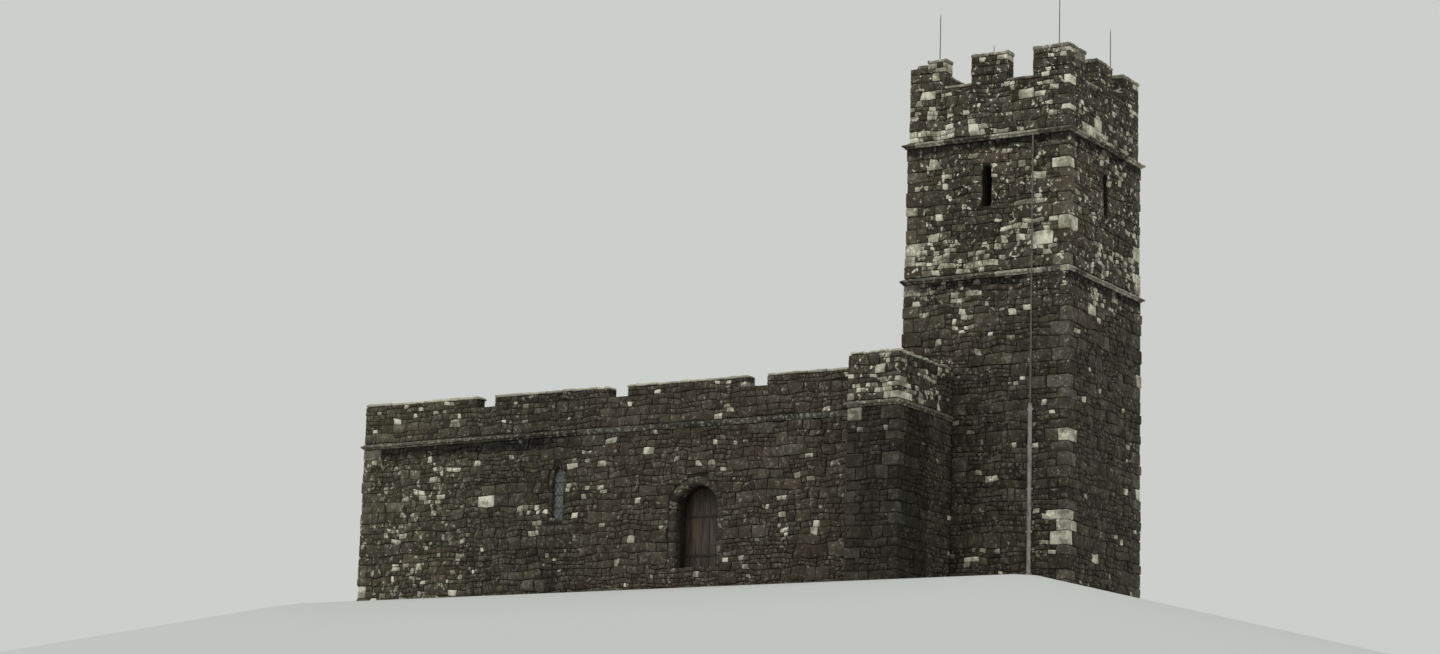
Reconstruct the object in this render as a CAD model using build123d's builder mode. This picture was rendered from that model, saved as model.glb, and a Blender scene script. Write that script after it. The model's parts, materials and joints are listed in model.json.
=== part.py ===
"""A small hill-top church: an embattled tower, a low embattled nave and a stair turret.

Sizes are in millimetres. +Z is up, +X runs to the tower's end and -Y to the turret's side.
The origin is the middle of the plan, at the lowest ground that the walls run down to.
"""
import os
from math import acos, atan, degrees, radians, sqrt, tan

from build123d import *

# Tower: plan, stages and parapet
tower_length = 3930
tower_width = 3700
tower_wall = 750
set_off = 25
lower_stage_height = 6790
belfry_stage_height = 3050
tower_parapet_height = 1990
tower_parapet_thickness = 300
tower_crenel_width = 640
tower_crenel_depth = 650
tower_string_proud = 90
tower_coping_height = 90
tower_coping_overhang = 30
crenel_sill_height = 60
crenel_sill_overhang = 30
worn_merlon_width = 420
worn_merlon_height = 170

# Nave: plan, walls and parapet
nave_length = 13720
nave_step = 1000
nave_wall = 640
nave_wall_height = 3790
nave_parapet_height = 1090
nave_parapet_thickness = 300
nave_crenel_width = 530
nave_crenel_depth = 270
nave_crenel_pitch = 3620
first_crenel = 3430
crenel_count = 3
nave_string_proud = 80
shoulder_lap = 300
nave_coping_height = 70
nave_coping_overhang = 25
string_height = 140
string_hollow = 50
string_nose = 35
coping_weathering = 30

# Stair turret in the angle of tower and nave
turret_length = 1200
turret_projection = 2400
turret_wall = 300
turret_string_drop = 90
turret_string_proud = 80
turret_roof_drop = 600
turret_roof_thickness = 120
turret_coping_height = 70

# Floors
floor_level = 680
floor_thickness = 200
belfry_floor_thickness = 180

# Round-headed doorway
door_width = 1050
door_height = 1830
door_centre = 9185
door_surround_width = 190
door_surround_depth = 250
door_chamfer = 40
door_reveal = 450
door_lap = 80
door_thickness = 60
door_clearance = 5

# Lancets, sizes over their dressings
lancet_centre = 5495
lancet_width = 470
lancet_height = 1360
lancet_sill = 1860
lancet_jamb = 90
lancet_depth = 220
lancet_chamfer = 25
lancet_splay = 160
glass_thickness = 20
fit_gap = 0.3
east_lancet_pitch = 900
east_lancet_rise = 300

# Belfry slits
slit_width = 240
slit_height = 910
slit_rise = 1590
slit_splay = 150

# Arch from nave to tower
arch_width = 1400
arch_height = 2500

# Nave roof
roof_pitch = 25
roof_thickness = 110
eaves_rise = 160
ridge_tile_width = 260
ridge_tile_thickness = 30
plate_width = 180
plate_inset = 40
ridge_beam_width = 110
ridge_beam_height = 240
tie_beam_width = 200
tie_beam_height = 240
tie_beam_count = 3
gable_rise = 180
gable_coping_height = 90
gable_coping_overhang = 25
apex_stone_length = 360

# Tower roof and lightning protection
tower_roof_edge = 110
tower_roof_rise = 330
tower_roof_cap = 200
rod_radius = 14
rod_height = 3080
rod_inset = 430
rod_plate = 120
rod_plate_height = 15
tape_width = 40
tape_thickness = 8
tape_centre = 850
guard_width = 90
guard_thickness = 30
guard_bottom = 0
guard_top = 3980

# Places that follow from the sizes
overall_length = tower_string_proud + tower_length + nave_length + nave_string_proud
overall_width = turret_string_proud + turret_projection + tower_width + nave_step + nave_string_proud
tower_west = overall_length / 2 - tower_string_proud
tower_east = tower_west - tower_length
nave_east = tower_east - nave_length
turret_north = -overall_width / 2 + turret_string_proud
tower_north = turret_north + turret_projection
tower_south = tower_north + tower_width
nave_north = tower_north - nave_step
nave_south = tower_south + nave_step
axis_y = (tower_north + tower_south) / 2
tower_x = (tower_west + tower_east) / 2
nave_width = nave_south - nave_north
turret_west = tower_east + turret_length
belfry_top = lower_stage_height + belfry_stage_height
tower_top = belfry_top + tower_parapet_height
nave_top = nave_wall_height + nave_parapet_height
slit_sill = lower_stage_height + slit_rise
axis_plane = Plane.XZ.offset(-axis_y)
room_east = nave_east + nave_wall

# Outward normal of each side, and the direction along its wall for an upright sketch
outward = {"north": (0, -1, 0), "south": (0, 1, 0), "east": (-1, 0, 0), "west": (1, 0, 0)}
along = {"north": (1, 0, 0), "south": (-1, 0, 0), "east": (0, -1, 0), "west": (0, 1, 0)}


def wall_face(side, x, y):
    """Upright plane on a wall's outer face: its x runs along the wall, its y up, its z outwards."""
    return Plane(origin=(x, y, 0), x_dir=along[side], z_dir=outward[side])


def pointed_sketch(plane, half_width, head_radius, sill, spring):
    """Opening with a pointed head of two arcs struck from the springing line."""
    sweep = degrees(acos((head_radius - half_width) / head_radius))
    corners = [(-half_width, spring), (-half_width, sill), (half_width, sill), (half_width, spring)]
    with BuildSketch(plane) as opening:
        with BuildLine():
            Polyline(*corners)
            CenterArc((half_width - head_radius, spring), head_radius, 0, sweep)
            CenterArc((head_radius - half_width, spring), head_radius, 180 - sweep, sweep)
        make_face()
    return opening.sketch


def round_sketch(plane, width, sill, crown):
    """Opening with a half-round head."""
    spring = crown - width / 2
    with BuildSketch(plane) as opening:
        with BuildLine():
            Polyline((-width / 2, spring), (-width / 2, sill), (width / 2, sill), (width / 2, spring))
            CenterArc((0, spring), width / 2, 0, 180)
        make_face()
    return opening.sketch


def block(x_range, y_range, z_range):
    """Plain squared piece between the given limits."""
    with BuildPart() as piece:
        with BuildSketch(Plane.XY.offset(z_range[0])):
            with Locations((sum(x_range) / 2, sum(y_range) / 2)):
                Rectangle(x_range[1] - x_range[0], y_range[1] - y_range[0])
        extrude(amount=z_range[1] - z_range[0])
    return piece.part


def tower_wall_stages(x_limits, y_limits):
    """Two stages of a tower wall, the upper one set back by the set-off on its outer faces."""
    with BuildPart() as stages:
        add(block(x_limits(0), y_limits(0), (0, lower_stage_height)))
        add(block(x_limits(set_off), y_limits(set_off), (lower_stage_height, belfry_top)))
    return stages.part


def splayed_opening(side, x, y, depths, width, levels, splay):
    """Inner part of a window: square-headed, with jambs that widen between the two depths."""
    half = width / 2
    corners = [(-half, depths[0]), (half, depths[0]), (half + splay, depths[1]), (-half - splay, depths[1])]
    with BuildPart() as opening:
        with BuildSketch(Plane(origin=(x, y, levels[0]), x_dir=along[side], z_dir=(0, 0, 1))):
            with BuildLine():
                Polyline(*corners, close=True)
            make_face()
        extrude(amount=levels[1] - levels[0])
    return opening.part


def slit_cutters(side, x, y):
    """Belfry slit: a narrow round-headed outer part and a splayed inner part."""
    half_wall = tower_wall / 2
    levels = (slit_sill, slit_sill + slit_height)
    behind = wall_face(side, x, y).offset(-half_wall)
    with BuildPart() as cutters:
        extrude(round_sketch(behind, slit_width, *levels), amount=half_wall)
        add(splayed_opening(side, x, y, (half_wall, tower_wall), slit_width, levels, slit_splay))
    return cutters.part


# Lancet profiles: radius of an equilateral head, and the smaller daylight opening inside it
lancet_half = lancet_width / 2
lancet_radius = lancet_width
lancet_head_rise = sqrt(lancet_radius**2 - (lancet_radius - lancet_half) ** 2)
lancet_spring = lancet_sill + lancet_height - lancet_head_rise


def lancet_sketch(plane, inset, rise=0):
    """Outline of a lancet, drawn in from its dressings' outer edge by the inset."""
    return pointed_sketch(
        plane, lancet_half - inset, lancet_radius - inset, lancet_sill + inset + rise, lancet_spring + rise
    )


def lancet_cutters(side, x, y, rise=0):
    """Rebate for the dressings and the splayed opening behind them."""
    behind = wall_face(side, x, y).offset(-lancet_depth)
    daylight = lancet_width - 2 * lancet_jamb
    levels = (lancet_sill + lancet_jamb + rise, lancet_sill + lancet_height - lancet_jamb + rise)
    with BuildPart() as cutters:
        extrude(lancet_sketch(behind, 0, rise), amount=lancet_depth)
        add(splayed_opening(side, x, y, (lancet_depth, nave_wall), daylight, levels, lancet_splay))
    return cutters.part


def lancet_surround(face, rise=0):
    """Dressed stone frame of a lancet, chamfered round its opening."""
    with BuildPart() as surround:
        extrude(lancet_sketch(face.offset(-lancet_depth + fit_gap), fit_gap, rise), amount=lancet_depth)
        extrude(
            lancet_sketch(face.offset(-lancet_depth), lancet_jamb, rise),
            amount=lancet_depth + nave_wall,
            mode=Mode.SUBTRACT,
        )
        front = surround.faces().filter_by(face).sort_by(Axis(face.origin, face.z_dir))[-1]
        chamfer(front.inner_wires()[0].edges(), lancet_chamfer)
    return surround.part


def glass_sheet(face, rise=0):
    """Sheet of leaded glass in the middle of a lancet's frame."""
    with BuildPart() as sheet:
        middle = face.offset(-(lancet_depth + glass_thickness) / 2)
        extrude(lancet_sketch(middle, lancet_jamb + fit_gap, rise), amount=glass_thickness)
    return sheet.part


def string_section(plane, ledge, proud):
    """Moulding of a string course: a hollow below, an upright nose and a weathered top."""
    reach = ledge + proud
    hollow_start = reach - string_hollow
    with BuildSketch(plane) as section:
        with BuildLine():
            Polyline((hollow_start, 0), (0, 0), (0, string_height), (reach, string_hollow + string_nose))
            Line((reach, string_hollow + string_nose), (reach, string_hollow))
            CenterArc((reach, 0), string_hollow, 90, 90)
        make_face()
    return section.sketch


def string_course(points, level, ledge, proud):
    """String course along a wall line, with mitred corners: outwards is to the right of the run."""
    route = [(x, y, level) for x, y in points]
    run = Vector(*route[1]) - Vector(*route[0])
    section_plane = Plane(origin=route[0], x_dir=run.cross(Vector(0, 0, 1)), z_dir=run * -1)
    with BuildPart() as course:
        with BuildLine() as path:
            Polyline(*route)
        sweep(
            sections=string_section(section_plane, ledge, proud),
            path=path.line,
            transition=Transition.RIGHT,
        )
    return course.part


def string_ring(x_range, y_range, level, ledge, proud):
    """Closed string course round a rectangle: two mitred halves that meet in the middle of two sides."""
    middle = sum(x_range) / 2
    half = [
        (middle, y_range[1]),
        (x_range[0], y_range[1]),
        (x_range[0], y_range[0]),
        (middle, y_range[0]),
    ]
    with BuildPart() as ring:
        east_half = string_course(half, level, ledge, proud)
        add(east_half)
        mirror(east_half, about=Plane.YZ.offset(middle))
    return ring.part


def weathered_slab(x_range, y_range, z_range):
    """Coping slab whose upper arrises are splayed off to shed the rain."""
    with BuildPart() as slab:
        add(block(x_range, y_range, z_range))
        chamfer(slab.faces().sort_by(Axis.Z)[-1].edges(), coping_weathering)
    return slab.part


def write(piece, name):
    """Label a finished piece and write it under its node's name."""
    piece.label = name
    export_step(piece, f"parts/{name}.step")


os.makedirs("parts", exist_ok=True)

# Nave side walls: the north one has the doorway and a lancet, the south one mirrors it
door_x = nave_east + door_centre
lancet_x = nave_east + lancet_centre
door_crown = floor_level + door_height
door_face = wall_face("north", door_x, nave_north)
rear_arch_width = door_width + 2 * (door_lap + door_clearance)
rear_arch_crown = door_crown + door_lap + door_clearance

with BuildPart() as nave_north_wall:
    add(block((nave_east, tower_east), (nave_north, nave_north + nave_wall), (0, nave_wall_height)))
    extrude(
        round_sketch(door_face, door_width, floor_level, door_crown),
        amount=-nave_wall,
        mode=Mode.SUBTRACT,
    )
    extrude(
        round_sketch(
            door_face, door_width + 2 * door_surround_width, floor_level, door_crown + door_surround_width
        ),
        amount=-door_surround_depth,
        mode=Mode.SUBTRACT,
    )
    extrude(
        round_sketch(door_face.offset(-door_reveal), rear_arch_width, floor_level, rear_arch_crown),
        amount=-(nave_wall - door_reveal),
        mode=Mode.SUBTRACT,
    )
    add(lancet_cutters("north", lancet_x, nave_north), mode=Mode.SUBTRACT)
write(nave_north_wall.part, "nave_north_wall")

with BuildPart() as nave_south_wall:
    mirror(nave_north_wall.part, about=axis_plane)
write(nave_south_wall.part, "nave_south_wall")

# Doorways: a round arch of dressed stone and a plank door behind the reveal
with BuildPart() as north_door_surround:
    extrude(
        round_sketch(
            door_face,
            door_width + 2 * (door_surround_width - fit_gap),
            floor_level,
            door_crown + door_surround_width - fit_gap,
        ),
        amount=-door_surround_depth,
    )
    extrude(
        round_sketch(door_face, door_width, floor_level, door_crown),
        amount=-door_surround_depth,
        mode=Mode.SUBTRACT,
    )
    arch_front = north_door_surround.faces().sort_by(Axis.Y)[0]
    arris = arch_front.edges().filter_by(GeomType.CIRCLE).sort_by(SortBy.RADIUS)[:1]
    arris += arch_front.edges().filter_by(Axis.Z).sort_by(lambda edge: abs(edge.center().X - door_x))[:2]
    chamfer(arris, door_chamfer)

with BuildPart() as door_surrounds:
    add(north_door_surround.part)
    mirror(north_door_surround.part, about=axis_plane)
write(door_surrounds.part, "door_surrounds")

with BuildPart() as north_door:
    extrude(
        round_sketch(
            door_face.offset(-door_reveal),
            door_width + 2 * door_lap,
            floor_level,
            door_crown + door_lap,
        ),
        amount=-door_thickness,
    )

with BuildPart() as plank_doors:
    add(north_door.part)
    mirror(north_door.part, about=axis_plane)
write(plank_doors.part, "plank_doors")

# Nave roof lines, as heights over the distance from the nave's long axis
roof_slope = tan(radians(roof_pitch))
parapet_inner = nave_width / 2 - nave_parapet_thickness
roof_foot = nave_wall_height + eaves_rise
roof_underside_rise = roof_thickness / sqrt(1 / (1 + roof_slope**2))


def roof_top(distance):
    """Height of the slates at a distance from the nave's axis."""
    return roof_foot + (parapet_inner - distance) * roof_slope


def roof_underside(distance):
    """Height of the rafters' underside at a distance from the nave's axis."""
    return roof_top(distance) - roof_underside_rise


def cross_section(x, points):
    """Closed profile across the nave at a given x, from distances to the axis and heights."""
    with BuildSketch(wall_face("west", x, axis_y)) as section:
        with BuildLine():
            Polyline(*points, close=True)
        make_face()
    return section.sketch


# East wall: between the side walls below, a low gable between the parapets above
gable_shoulder = roof_top(parapet_inner) + gable_rise
gable_apex = roof_top(0) + gable_rise
room_half = nave_width / 2 - nave_wall
east_group = [(-east_lancet_pitch, 0), (0, east_lancet_rise), (east_lancet_pitch, 0)]
east_lancets = [("east", nave_east, axis_y + shift, rise) for shift, rise in east_group]

with BuildPart() as nave_east_wall:
    gable_points = [
        (-room_half, 0),
        (room_half, 0),
        (room_half, nave_wall_height),
        (parapet_inner, nave_wall_height),
        (parapet_inner, gable_shoulder),
        (0, gable_apex),
        (-parapet_inner, gable_shoulder),
        (-parapet_inner, nave_wall_height),
        (-room_half, nave_wall_height),
    ]
    extrude(cross_section(nave_east, gable_points), amount=nave_wall)
    for place in east_lancets:
        add(lancet_cutters(*place), mode=Mode.SUBTRACT)
write(nave_east_wall.part, "nave_east_wall")

# Dressings and glass of all the lancets
side_lancets = [("north", lancet_x, nave_north, 0), ("south", lancet_x, nave_south, 0)]
lancet_places = [(wall_face(side, x, y), rise) for side, x, y, rise in side_lancets + east_lancets]

with BuildPart() as lancet_surrounds:
    for face, rise in lancet_places:
        add(lancet_surround(face, rise))
write(lancet_surrounds.part, "lancet_surrounds")

with BuildPart() as lancet_glass:
    for face, rise in lancet_places:
        add(glass_sheet(face, rise))
write(lancet_glass.part, "lancet_glass")

# Gable copings: two raking slabs and the stone where they meet
rake_foot = parapet_inner
rake_head = apex_stone_length / 2


def gable_line(distance):
    """Height of the gable's masonry at a distance from the nave's axis."""
    return roof_top(distance) + gable_rise


with BuildPart() as gable_copings:
    for sign in (-1, 1):
        rake_points = [
            (sign * rake_foot, gable_line(rake_foot)),
            (sign * rake_head, gable_line(rake_head)),
            (sign * rake_head, gable_line(rake_head) + gable_coping_height),
            (sign * rake_foot, gable_line(rake_foot) + gable_coping_height),
        ]
        rake = cross_section(nave_east - gable_coping_overhang, rake_points)
        extrude(rake, amount=nave_wall + 2 * gable_coping_overhang)
write(gable_copings.part, "gable_copings")

with BuildPart() as gable_apex_stone:
    apex_points = [
        (-rake_head, gable_line(rake_head)),
        (0, gable_apex),
        (rake_head, gable_line(rake_head)),
        (rake_head, gable_line(rake_head) + gable_coping_height),
        (0, gable_apex + 2 * gable_coping_height),
        (-rake_head, gable_line(rake_head) + gable_coping_height),
    ]
    extrude(
        cross_section(nave_east - gable_coping_overhang, apex_points),
        amount=nave_wall + 2 * gable_coping_overhang,
    )
write(gable_apex_stone.part, "gable_apex_stone")

# West ends of the nave, beside the tower and under the nave roof
shoulder_inner = tower_width / 2 - shoulder_lap
with BuildPart() as nave_west_shoulders:
    for sign in (-1, 1):
        shoulder_points = [
            (sign * room_half, 0),
            (sign * shoulder_inner, 0),
            (sign * shoulder_inner, roof_underside(shoulder_inner)),
            (sign * room_half, roof_underside(room_half)),
        ]
        extrude(cross_section(tower_east - nave_wall, shoulder_points), amount=nave_wall)
write(nave_west_shoulders.part, "nave_west_shoulders")

# Nave floor, with a tongue between the shoulders
with BuildPart() as nave_floor:
    floor_range = (floor_level - floor_thickness, floor_level)
    add(block((room_east, tower_east - nave_wall), (axis_y - room_half, axis_y + room_half), floor_range))
    tongue_y = (axis_y - shoulder_inner, axis_y + shoulder_inner)
    add(block((tower_east - nave_wall, tower_east), tongue_y, floor_range))
write(nave_floor.part, "nave_floor")

# Nave parapets with their crenels, and a coping slab on each merlon
crenel_centres = [nave_east + first_crenel + index * nave_crenel_pitch for index in range(crenel_count)]
merlon_edges = [nave_east]
for centre in crenel_centres:
    merlon_edges += [centre - nave_crenel_width / 2, centre + nave_crenel_width / 2]
merlon_edges.append(tower_east)
merlon_ranges = list(zip(merlon_edges[0::2], merlon_edges[1::2]))
nave_masonry_top = nave_top - nave_coping_height

with BuildPart() as nave_north_parapet:
    parapet_depth = (nave_north, nave_north + nave_parapet_thickness)
    add(block((nave_east, tower_east), parapet_depth, (nave_wall_height, nave_top - nave_crenel_depth)))
    for merlon in merlon_ranges:
        add(block(merlon, parapet_depth, (nave_top - nave_crenel_depth, nave_masonry_top)))
write(nave_north_parapet.part, "nave_north_parapet")

with BuildPart() as nave_south_parapet:
    mirror(nave_north_parapet.part, about=axis_plane)
write(nave_south_parapet.part, "nave_south_parapet")

with BuildPart() as nave_north_copings:
    coping_depth = (nave_north - nave_coping_overhang, parapet_depth[1] + nave_coping_overhang)
    for start, end in merlon_ranges:
        east_lip = nave_coping_overhang
        west_lip = 0 if end == tower_east else nave_coping_overhang
        add(weathered_slab((start - east_lip, end + west_lip), coping_depth, (nave_masonry_top, nave_top)))
write(nave_north_copings.part, "nave_north_copings")

with BuildPart() as nave_south_copings:
    mirror(nave_north_copings.part, about=axis_plane)
write(nave_south_copings.part, "nave_south_copings")

# Nave string course: along both sides and round the east end
nave_string_line = [
    (tower_east, nave_south),
    (nave_east, nave_south),
    (nave_east, nave_north),
    (tower_east, nave_north),
]
with BuildPart() as nave_string_course:
    add(string_course(nave_string_line, nave_wall_height, 0, nave_string_proud))
write(nave_string_course.part, "nave_string_course")

# Nave roof: slated slopes, ridge, wall plates, ridge beam and tie beams
roof_length = tower_east - room_east


def roof_run(points):
    """Piece with one profile from the gable wall to the tower."""
    with BuildPart() as run:
        extrude(cross_section(room_east, points), amount=roof_length)
    return run.part


north_slope_points = [
    (-parapet_inner, roof_top(parapet_inner)),
    (0, roof_top(0)),
    (0, roof_underside(0)),
    (-parapet_inner, roof_underside(parapet_inner)),
]
with BuildPart() as roof_north_slope:
    add(roof_run(north_slope_points))
write(roof_north_slope.part, "roof_north_slope")

with BuildPart() as roof_south_slope:
    mirror(roof_north_slope.part, about=axis_plane)
write(roof_south_slope.part, "roof_south_slope")

with BuildPart() as roof_ridge_tiles:
    ridge_half = ridge_tile_width / 2
    ridge_points = [
        (-ridge_half, roof_top(ridge_half)),
        (0, roof_top(0)),
        (ridge_half, roof_top(ridge_half)),
        (ridge_half, roof_top(ridge_half) + ridge_tile_thickness),
        (0, roof_top(0) + ridge_tile_thickness),
        (-ridge_half, roof_top(ridge_half) + ridge_tile_thickness),
    ]
    add(roof_run(ridge_points))
write(roof_ridge_tiles.part, "roof_ridge_tiles")

with BuildPart() as wall_plates:
    plate_outer = room_half + plate_inset + plate_width
    plate_inner = room_half + plate_inset
    plate_points = [
        (-plate_outer, nave_wall_height),
        (-plate_inner, nave_wall_height),
        (-plate_inner, roof_underside(plate_inner)),
        (-plate_outer, roof_underside(plate_outer)),
    ]
    north_plate = roof_run(plate_points)
    add(north_plate)
    mirror(north_plate, about=axis_plane)
write(wall_plates.part, "wall_plates")

with BuildPart() as ridge_beam:
    beam_half = ridge_beam_width / 2
    beam_foot = roof_underside(0) - ridge_beam_height
    beam_points = [
        (-beam_half, beam_foot),
        (beam_half, beam_foot),
        (beam_half, roof_underside(beam_half)),
        (0, roof_underside(0)),
        (-beam_half, roof_underside(beam_half)),
    ]
    add(roof_run(beam_points))
write(ridge_beam.part, "ridge_beam")

with BuildPart() as tie_beams:
    tie_spacing = roof_length / (tie_beam_count + 1)
    for index in range(1, tie_beam_count + 1):
        centre = room_east + index * tie_spacing
        add(
            block(
                (centre - tie_beam_width / 2, centre + tie_beam_width / 2),
                (nave_north + nave_wall, nave_south - nave_wall),
                (nave_wall_height - tie_beam_height, nave_wall_height),
            )
        )
write(tie_beams.part, "tie_beams")

# Tower walls: the side walls run full length, the end walls stand between them
room_north = tower_north + tower_wall
room_south = tower_south - tower_wall


def long_wall_x(inset):
    """Length of a tower side wall at a stage with the given set-off."""
    return (tower_east + inset, tower_west - inset)


def end_wall_y(inset):
    """Width of a tower end wall, which the set-off doesn't change."""
    return (room_north, room_south)


with BuildPart() as tower_north_wall:
    add(tower_wall_stages(long_wall_x, lambda inset: (tower_north + inset, room_north)))
    add(slit_cutters("north", tower_x, tower_north), mode=Mode.SUBTRACT)
write(tower_north_wall.part, "tower_north_wall")

with BuildPart() as tower_south_wall:
    add(tower_wall_stages(long_wall_x, lambda inset: (room_south, tower_south - inset)))
    add(slit_cutters("south", tower_x, tower_south), mode=Mode.SUBTRACT)
write(tower_south_wall.part, "tower_south_wall")

with BuildPart() as tower_west_wall:
    add(tower_wall_stages(lambda inset: (tower_west - tower_wall, tower_west - inset), end_wall_y))
    add(slit_cutters("west", tower_west, axis_y), mode=Mode.SUBTRACT)
write(tower_west_wall.part, "tower_west_wall")

with BuildPart() as tower_east_wall:
    add(tower_wall_stages(lambda inset: (tower_east + inset, tower_east + tower_wall), end_wall_y))
    add(slit_cutters("east", tower_east, axis_y), mode=Mode.SUBTRACT)
    arch_face = wall_face("east", tower_east, axis_y)
    extrude(
        round_sketch(arch_face, arch_width, floor_level, floor_level + arch_height),
        amount=-tower_wall,
        mode=Mode.SUBTRACT,
    )
write(tower_east_wall.part, "tower_east_wall")

# Tower floors
tower_room_x = (tower_east + tower_wall, tower_west - tower_wall)
with BuildPart() as tower_ground_floor:
    add(block(tower_room_x, (room_north, room_south), (floor_level - floor_thickness, floor_level)))
write(tower_ground_floor.part, "tower_ground_floor")

with BuildPart() as belfry_floor:
    belfry_floor_range = (lower_stage_height - belfry_floor_thickness, lower_stage_height)
    add(block(tower_room_x, (room_north, room_south), belfry_floor_range))
write(belfry_floor.part, "belfry_floor")

# Tower string courses, one on each set-off
belfry_x = (tower_east + set_off, tower_west - set_off)
belfry_y = (tower_north + set_off, tower_south - set_off)
parapet_x = (tower_east + 2 * set_off, tower_west - 2 * set_off)
parapet_y = (tower_north + 2 * set_off, tower_south - 2 * set_off)
with BuildPart() as tower_lower_string:
    add(string_ring(belfry_x, belfry_y, lower_stage_height, set_off, tower_string_proud))
write(tower_lower_string.part, "tower_lower_string")

with BuildPart() as tower_upper_string:
    add(string_ring(parapet_x, parapet_y, belfry_top, set_off, tower_string_proud + set_off))
write(tower_upper_string.part, "tower_upper_string")

# Tower parapet: three merlons a side, the corner ones shared by two sides
crenel_level = tower_top - tower_crenel_depth
merlon_masonry_top = tower_top - tower_coping_height


def merlon_spans(limits):
    """Three equal merlons between two crenels, as start and end along one side."""
    length = limits[1] - limits[0]
    merlon = (length - 2 * tower_crenel_width) / 3
    step = merlon + tower_crenel_width
    return [(limits[0] + index * step, limits[0] + index * step + merlon) for index in range(3)]


def crenel_spans(limits, merlon_lip):
    """The two gaps between a side's merlons, each narrowed by the lips of their copings."""
    merlons = merlon_spans(limits)
    return [
        (merlons[0][1] + merlon_lip, merlons[1][0] - merlon_lip),
        (merlons[1][1] + merlon_lip, merlons[2][0] - merlon_lip),
    ]


def clipped(span, limits):
    """Part of a span that lies between the limits."""
    return (max(span[0], limits[0]), min(span[1], limits[1]))


side_inner_y = (parapet_y[0] + tower_parapet_thickness, parapet_y[1] - tower_parapet_thickness)
coping_levels = (merlon_masonry_top, tower_top)
sill_levels = (crenel_level - crenel_sill_height, crenel_level)

with BuildPart() as long_parapet:
    north_depth = (parapet_y[0], side_inner_y[0])
    add(block(parapet_x, north_depth, (belfry_top, sill_levels[0])))
    for span in merlon_spans(parapet_x):
        add(block(span, north_depth, (sill_levels[0], merlon_masonry_top)))

with BuildPart() as tower_south_parapet:
    mirror(long_parapet.part, about=axis_plane)
write(tower_south_parapet.part, "tower_south_parapet")

# The north-east merlon has lost its corner: coping and masonry are gone down to the break
lip = tower_coping_overhang
worn_corner = block(
    (parapet_x[0] - lip, parapet_x[0] + worn_merlon_width),
    (parapet_y[0] - lip, side_inner_y[0] + lip),
    (tower_top - worn_merlon_height, tower_top),
)
with BuildPart() as tower_north_parapet:
    add(long_parapet.part)
    add(worn_corner, mode=Mode.SUBTRACT)
write(tower_north_parapet.part, "tower_north_parapet")

with BuildPart() as tower_west_parapet:
    west_depth = (parapet_x[1] - tower_parapet_thickness, parapet_x[1])
    add(block(west_depth, side_inner_y, (belfry_top, sill_levels[0])))
    for span in merlon_spans(parapet_y):
        add(block(west_depth, clipped(span, side_inner_y), (sill_levels[0], merlon_masonry_top)))
write(tower_west_parapet.part, "tower_west_parapet")

tower_cross_plane = Plane.YZ.offset(tower_x)
with BuildPart() as tower_east_parapet:
    mirror(tower_west_parapet.part, about=tower_cross_plane)
    add(worn_corner, mode=Mode.SUBTRACT)
write(tower_east_parapet.part, "tower_east_parapet")

# Merlon copings: one weathered course round the parapet, cut through at the crenels
ring_width = tower_parapet_thickness + 2 * lip
crenel_x = crenel_spans(parapet_x, lip)
crenel_y = crenel_spans(parapet_y, lip)
with BuildPart() as tower_merlon_copings:
    with BuildSketch(Plane.XY.offset(merlon_masonry_top)):
        with Locations((tower_x, axis_y)):
            outer = (parapet_x[1] - parapet_x[0] + 2 * lip, parapet_y[1] - parapet_y[0] + 2 * lip)
            Rectangle(*outer)
            Rectangle(outer[0] - 2 * ring_width, outer[1] - 2 * ring_width, mode=Mode.SUBTRACT)
    extrude(amount=tower_coping_height)
    chamfer(tower_merlon_copings.faces().sort_by(Axis.Z)[-1].edges(), coping_weathering)
    for span in crenel_x:
        add(block(span, (parapet_y[0] - lip, parapet_y[1] + lip), coping_levels), mode=Mode.SUBTRACT)
    for span in crenel_y:
        add(block((parapet_x[0] - lip, parapet_x[1] + lip), span, coping_levels), mode=Mode.SUBTRACT)
    add(worn_corner, mode=Mode.SUBTRACT)
write(tower_merlon_copings.part, "tower_merlon_copings")

# Crenel sills: a flat stone on the bottom of each crenel, between the merlons
with BuildPart() as tower_crenel_sills:
    for start, end in crenel_spans(parapet_x, 0):
        north_depth = (parapet_y[0] - crenel_sill_overhang, side_inner_y[0] + crenel_sill_overhang)
        sill = block((start, end), north_depth, sill_levels)
        add(sill)
        mirror(sill, about=axis_plane)
    for start, end in crenel_spans(parapet_y, 0):
        west_reach = parapet_x[1] + crenel_sill_overhang
        west_depth = (west_reach - tower_parapet_thickness - 2 * crenel_sill_overhang, west_reach)
        sill = block(west_depth, (start, end), sill_levels)
        add(sill)
        mirror(sill, about=tower_cross_plane)
write(tower_crenel_sills.part, "tower_crenel_sills")

# Tower roof: a low leaded pyramid on the wall tops, hollow below
with BuildPart() as tower_roof:
    roof_size_x = parapet_x[1] - parapet_x[0] - 2 * tower_parapet_thickness
    roof_size_y = side_inner_y[1] - side_inner_y[0]
    with BuildSketch(Plane.XY.offset(belfry_top)):
        with Locations((tower_x, axis_y)):
            Rectangle(roof_size_x, roof_size_y)
    extrude(amount=tower_roof_edge)
    hip_run = roof_size_y / 2 - rod_inset - tower_roof_cap / 2
    for level, change in ((belfry_top + tower_roof_edge, Mode.ADD), (belfry_top, Mode.SUBTRACT)):
        with BuildSketch(Plane.XY.offset(level)):
            with Locations((tower_x, axis_y)):
                Rectangle(roof_size_x - 2 * rod_inset, roof_size_y - 2 * rod_inset)
        extrude(amount=tower_roof_rise, taper=degrees(atan(hip_run / tower_roof_rise)), mode=change)
write(tower_roof.part, "tower_roof")

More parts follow.
